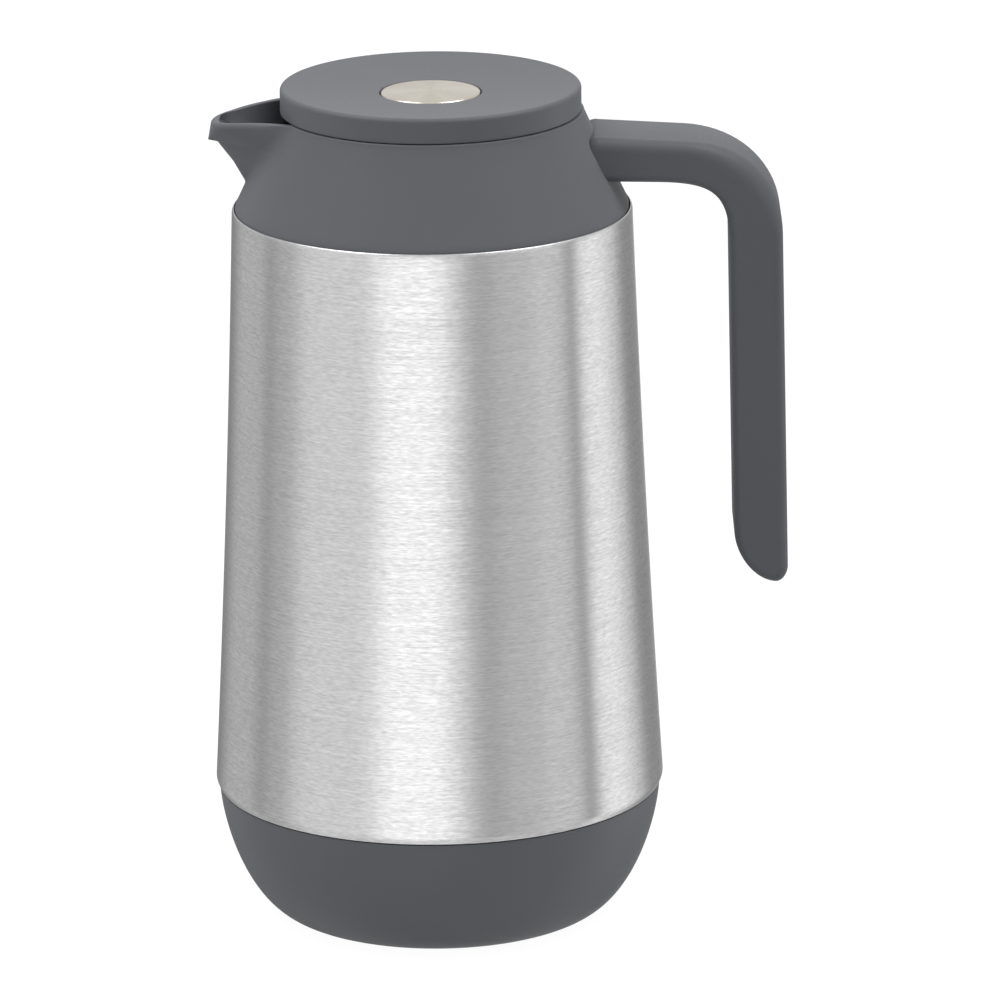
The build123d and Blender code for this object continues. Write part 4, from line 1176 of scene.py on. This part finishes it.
@dataclass
class Handle:
    """Flat-sided handle: arm from the collar, bend and a grip that ends free."""

    width: float = 29.0
    reach: float = 101.53
    grip: float = 15.35
    arm: float = 12.96
    top_z: float = 236.13
    top_slope: float = 3.5
    under_slope: float = 1.35
    end_z: float = 101.75
    lean: float = 1.6
    taper: float = 0.25
    # Of each bend: how far its curve reaches back and ahead, and how full it is
    root_bend: Ease = (4.5, 4.5, 0.55)
    outer_bend: Ease = (27.0, 26.0, 0.6)
    tip_corner: Ease = (4.6, 3.4, 0.5)
    tip_bend: Ease = (12.2, 15.6, 0.5)
    inner_bend: Ease = (19.0, 20.2, 0.81)
    outer_round: float = 3.1
    inner_round: float = 2.4
    bend_swell: float = 2.6
    flat_edge: float = 0.15
    shoulder_radius: float = 46.5
    root_x: float = 44.0
    bend_steps: int = 20
    round_steps: int = 7
    longest_run: float = 8.0
    edge_run: float = 0.4

    def outline(self) -> list[Point]:
        """Side view of the handle, in (x, z), from the top of the arm round the grip."""
        fall = math.tan(math.radians(self.top_slope))
        inner = self.reach - self.grip
        under = self.top_z - self.arm
        root_top = self.top_z + fall * (self.shoulder_radius - self.root_x)
        bend_top = self.top_z - fall * (self.reach - self.shoulder_radius)
        bend_under = under - math.tan(math.radians(self.under_slope)) * (inner - self.root_x)
        corners = [
            EasedCorner(self.root_x, root_top, *self.root_bend),
            EasedCorner(self.reach, bend_top, *self.outer_bend),
            EasedCorner(self.reach + self.lean, self.end_z, *self.tip_corner),
            EasedCorner(inner + self.lean - self.taper, self.end_z, *self.tip_bend),
            EasedCorner(inner, bend_under, *self.inner_bend),
            EasedCorner(self.root_x, under, *self.root_bend),
        ]
        line: list[Point] = []
        for i, corner in enumerate(corners):
            line += corner.points(corners[i - 1], corners[(i + 1) % len(corners)], self.bend_steps)
        return spaced(line, self.longest_run, self.edge_run)[:-1]

    def edge_round(self, inward: Vector) -> float:
        """Radius of the side's edge: fuller round the outside of the bar, fullest in its bend.

        Args:
            inward: Unit direction into the bar, in (x, z).

        Returns:
            The radius in millimetres.
        """
        outer = clamped(0.5 - (inward.x + inward.y) / 2)
        bend = 2 * max(-inward.x, 0.0) * max(-inward.y, 0.0)
        return self.inner_round + (self.outer_round - self.inner_round) * outer + self.bend_swell * bend

    def ring(self, x: float, z: float, inward: Vector) -> list[Vector]:
        """Points across one edge of the handle, from its near side to its far side.

        Args:
            x: Place along X of the outline's point.
            z: Height of the outline's point.
            inward: Unit direction into the bar, in (x, z).

        Returns:
            The points, with one on each flat side next to the rounding.
        """
        size, side = self.edge_round(inward), self.width / 2
        half = [(size + self.flat_edge, side)]
        for turn in evenly(0.0, QUARTER, self.round_steps):
            half.append((size * (1 - math.sin(turn)), side - size * (1 - math.cos(turn))))
        near = [Vector((x + inward.x * inset, -y, z + inward.y * inset)) for inset, y in half]
        far = [Vector((p.x, -p.y, p.z)) for p in reversed(near)]
        return near + far

    def build(self, finishes: Finishes) -> bpy.types.Object:
        """Make the handle and hang it on the jug's body.

        Args:
            finishes: The jug's finishes.

        Returns:
            The finished handle.
        """
        line = self.outline()
        columns = []
        for i, (x, z) in enumerate(line):
            a, b = line[i - 1], line[(i + 1) % len(line)]
            along = Vector((b[0] - a[0], b[1] - a[1])).normalized()
            columns.append(self.ring(x, z, Vector((along.y, -along.x))))
        mesh = grid_mesh("handle_moulding", columns)
        work = bmesh.new()
        work.from_mesh(mesh)
        bmesh.ops.contextual_create(work, geom=[edge for edge in work.edges if edge.is_boundary])
        work.to_mesh(mesh)
        work.free()
        tidy_mesh(mesh)
        mesh.materials.append(finishes.grip)
        piece = add_object("handle_moulding", mesh)
        # The brushing draws reflections out so far that the sleeve shows no image of the handle
        piece.visible_glossy = False
        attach(piece, Body.JUG.value)
        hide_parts("handle")
        return piece


@dataclass
class InnerParts:
    """Parts that keep their modelled shape and only get their finish."""

    finish_of: tuple[tuple[str, str], ...] = (
        ("base_ring", "dark"),
        ("neck_insert", "dark"),
        ("handle_screws", "plain_steel"),
        ("flask_outer", "silvered"),
        ("flask_inner", "silvered"),
        ("flask_pads", "spacer"),
        ("flask_cushion", "rubber"),
        ("neck_gasket", "silicone"),
        ("stopper_gasket", "silicone"),
        ("stopper_body", "dark"),
        ("stopper_deck", "dark"),
        ("button_plunger", "dark"),
        ("valve_stem", "plain_steel"),
        ("stem_ring", "rubber"),
        ("valve_plug", "dark"),
        ("valve_seal", "silicone"),
        ("stem_nut", "plain_steel"),
    )

    def dress(self, nodes: dict[str, bpy.types.Object], finishes: Finishes) -> None:
        """Give each part its finish and report it.

        Args:
            nodes: The model's parts by name.
            finishes: The jug's finishes.
        """
        for name, finish in self.finish_of:
            mesh = nodes[name].data
            mesh.materials.clear()
            mesh.materials.append(getattr(finishes, finish))
            LOG.info("%s: finish %s", name, mesh.materials[0].name)


@dataclass(frozen=True)
class TentPanel:
    """Vertical panel of the light tent: where it stands and how soft its edges are, in degrees."""

    azimuth: float
    half_width: float
    softness: float
    level: float


@dataclass(frozen=True)
class Lamp:
    """Square soft lamp that points at the jug, in metres and watts."""

    name: str
    place: Place
    size: float
    power: float


@dataclass
class Studio:
    """Plain pale floor, soft lamps, a light tent for the steel to mirror, and the camera."""

    floor_hex: str = "#c8c8c8"
    floor_reach: float = 6.0
    floor_glow: float = 1.2
    glow_share: float = 0.8
    world_fill: float = 0.32
    tent_radius: float = 1.6
    tent_low: float = -1.6
    tent_high: float = 2.0
    tent_sides: int = 96
    tent_base: float = 1.01
    tent_upper: float = 0.86
    upper_from: float = 0.3
    upper_to: float = 0.6
    panels: tuple[TentPanel, ...] = (
        TentPanel(-155, 17, 12, 0.28),
        TentPanel(-125, 8, 24, 0.71),
        TentPanel(-103, 2, 7, 0.37),
        TentPanel(-85, 7, 8, 0.61),
        TentPanel(-60, 15, 12, 1.03),
        TentPanel(-43, 4, 7, 1.06),
        TentPanel(-12, 10, 20, 1.94),
        TentPanel(28, 4, 10, 0.54),
        TentPanel(47, 9, 8, 0.72),
        TentPanel(70, 7, 9, 0.95),
        TentPanel(84, 2, 4, 0.0),
        TentPanel(104, 11, 8, 1.48),
        TentPanel(125, 6, 11, 1.07),
        TentPanel(147, 12, 15, 0.37),
    )
    lamps: tuple[Lamp, ...] = (
        Lamp("top_left_lamp", (-0.8, -0.1, 1.6), 0.9, 11.6),
        Lamp("top_right_lamp", (0.8, -0.1, 1.6), 0.9, 11.6),
        Lamp("left_lamp", (-1.7, -0.4, 0.6), 1.3, 4.5),
        Lamp("right_lamp", (1.7, -0.4, 0.6), 1.3, 4.5),
    )
    lamp_aim: Place = (0.0, 0.0, 0.12)
    lens_mm: float = 311.4
    sensor_mm: float = 36.0
    camera_mm: Place = (18.79, -2446.62, 823.89)
    pitch: float = 0.27866
    roll: float = -0.01148

    def build(self) -> None:
        """Make everything around the jug."""
        self._floor()
        self._tent()
        self._lamps()
        self._world()
        self._camera()

    def _floor(self) -> None:
        """Pale floor that keeps the jug's shadow and fades into the white background."""
        mesh = bpy.data.meshes.new("floor")
        side = self.floor_reach
        corners = [(-side, -side, 0), (side, -side, 0), (side, side, 0), (-side, side, 0)]
        mesh.from_pydata(corners, [], [(0, 1, 2, 3)])
        floor = add_object("floor", mesh)
        made, tree = new_surface("pale_floor")
        grain = add_node(tree, "ShaderNodeTexNoise", {"Scale": 40.0, "Detail": 3.0})["Fac"]
        rough = add_node(tree, "ShaderNodeMapRange", {"Value": grain, "To Min": 0.85, "To Max": 0.95})[0]
        matt = {"Base Color": linear(self.floor_hex), "Roughness": rough}
        paper = add_node(tree, "ShaderNodeBsdfPrincipled", matt)[0]
        # A share of plain white light where the floor is looked at; the rest is paper, with the shadow
        glow = add_node(tree, "ShaderNodeEmission", {"Strength": self.floor_glow})[0]
        shown = {0: looked_at(tree), 1: self.glow_share}
        share = add_node(tree, "ShaderNodeMath", shown, operation="MULTIPLY")[0]
        mixed = add_node(tree, "ShaderNodeMixShader", {0: share, 1: paper, 2: glow})[0]
        add_node(tree, "ShaderNodeOutputMaterial", {"Surface": mixed})
        mesh.materials.append(made)
        floor.visible_glossy = False

    def _tent(self) -> None:
        """Round light tent with soft vertical panels, seen only in reflections."""
        verts, faces = [], []
        for i in range(self.tent_sides):
            turn = math.tau * i / self.tent_sides
            x, y = self.tent_radius * math.sin(turn), -self.tent_radius * math.cos(turn)
            verts += [(x, y, self.tent_low), (x, y, self.tent_high)]
            a, b = 2 * i, 2 * ((i + 1) % self.tent_sides)
            faces.append((a, b, b + 1, a + 1))
        mesh = bpy.data.meshes.new("light_tent")
        mesh.from_pydata(verts, [], faces)
        tent = add_object("light_tent", mesh)
        made, tree = new_surface("tent_cloth")
        place = add_node(tree, "ShaderNodeTexCoord")["Object"]
        x, y, z = add_node(tree, "ShaderNodeSeparateXYZ", {0: place})
        front = add_node(tree, "ShaderNodeMath", {0: y, 1: -1.0}, operation="MULTIPLY")[0]
        turn = add_node(tree, "ShaderNodeMath", {0: x, 1: front}, operation="ARCTAN2")[0]
        level = self.tent_base
        for panel in self.panels:
            aside = {0: turn, 1: math.radians(panel.azimuth)}
            away = add_node(tree, "ShaderNodeMath", aside, operation="SUBTRACT")[0]
            fade = {
                "Value": add_node(tree, "ShaderNodeMath", {0: away}, operation="ABSOLUTE")[0],
                "From Min": math.radians(panel.half_width),
                "From Max": math.radians(panel.half_width + panel.softness),
                "To Min": 1.0,
                "To Max": 0.0,
            }
            share = add_node(tree, "ShaderNodeMapRange", fade, interpolation_type="SMOOTHSTEP")[0]
            panel_mix = {0: share, 2: level, 3: panel.level}
            level = add_node(tree, "ShaderNodeMix", panel_mix, data_type="FLOAT")[0]
        rise = {"Value": z, "From Min": self.upper_from, "From Max": self.upper_to}
        share = add_node(tree, "ShaderNodeMapRange", rise, interpolation_type="SMOOTHSTEP")[0]
        upper_mix = {0: share, 2: level, 3: self.tent_upper}
        level = add_node(tree, "ShaderNodeMix", upper_mix, data_type="FLOAT")[0]
        glow = add_node(tree, "ShaderNodeEmission", {"Strength": level})[0]
        add_node(tree, "ShaderNodeOutputMaterial", {"Surface": glow})
        mesh.materials.append(made)
        tent.visible_camera = False
        tent.visible_diffuse = False
        tent.visible_shadow = False
        tent.visible_transmission = False

    def _lamps(self) -> None:
        """Two broad lamps overhead and a weaker one on either side."""
        for lamp in self.lamps:
            data = bpy.data.lights.new(lamp.name, "AREA")
            data.shape = "SQUARE"
            data.size = lamp.size
            data.energy = lamp.power
            light = add_object(lamp.name, data)
            light.location = lamp.place
            ahead = Vector(self.lamp_aim) - Vector(lamp.place)
            light.rotation_euler = ahead.to_track_quat("-Z", "Y").to_euler()
            light.visible_camera = False

    def _world(self) -> None:
        """White surroundings to the camera and in reflections, softer light on the object."""
        world = bpy.data.worlds.new("studio")
        bpy.context.scene.world = world
        world.use_nodes = True
        tree = world.node_tree
        tree.nodes.clear()
        levels = {"Value": looked_at(tree), "To Min": self.world_fill, "To Max": 1.0}
        strength = add_node(tree, "ShaderNodeMapRange", levels)[0]
        white = {"Color": (1.0, 1.0, 1.0, 1.0), "Strength": strength}
        air = add_node(tree, "ShaderNodeBackground", white)[0]
        add_node(tree, "ShaderNodeOutputWorld", {"Surface": air})

    def _camera(self) -> None:
        """Long lens at the photograph's angle."""
        data = bpy.data.cameras.new("camera")
        data.lens = self.lens_mm
        data.sensor_width = self.sensor_mm
        data.clip_end = 50.0
        camera = add_object("camera", data)
        flat = Vector((1.0, 0.0, 0.0))
        rise = Vector((0.0, math.sin(self.pitch), math.cos(self.pitch)))
        ahead = Vector((0.0, math.cos(self.pitch), -math.sin(self.pitch)))
        right = flat * math.cos(self.roll) + rise * math.sin(self.roll)
        up = rise * math.cos(self.roll) - flat * math.sin(self.roll)
        turned = Matrix((right, up, -ahead)).transposed().to_4x4()
        camera.matrix_world = Matrix.Translation(Vector(self.camera_mm) * MM) @ turned
        bpy.context.scene.camera = camera


def main(frame: dict) -> None:
    """Build the jug and its studio.
    """
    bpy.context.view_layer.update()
    bpy.context.scene.view_settings.view_transform = "Standard"
    Studio().build()
    finishes = Finishes()
    turned = TurnedTree()
    pieces = [part.build(turned, finishes) for part in (Sleeve(), BaseCup(), LidCover(), ButtonDisc())]
    pieces += [moulding.build(finishes) for moulding in (Collar(), Handle())]
    pieces.append(ReturnSpring().build(SpringTree(), finishes))
    for piece in pieces:
        LOG.info("%s: %d faces", piece.name, len(piece.data.polygons))
    InnerParts().dress(frame["nodes"], finishes)


if __name__ == "__main__":
    logging.basicConfig(level=logging.INFO, format="%(name)s %(message)s")
    main(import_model())
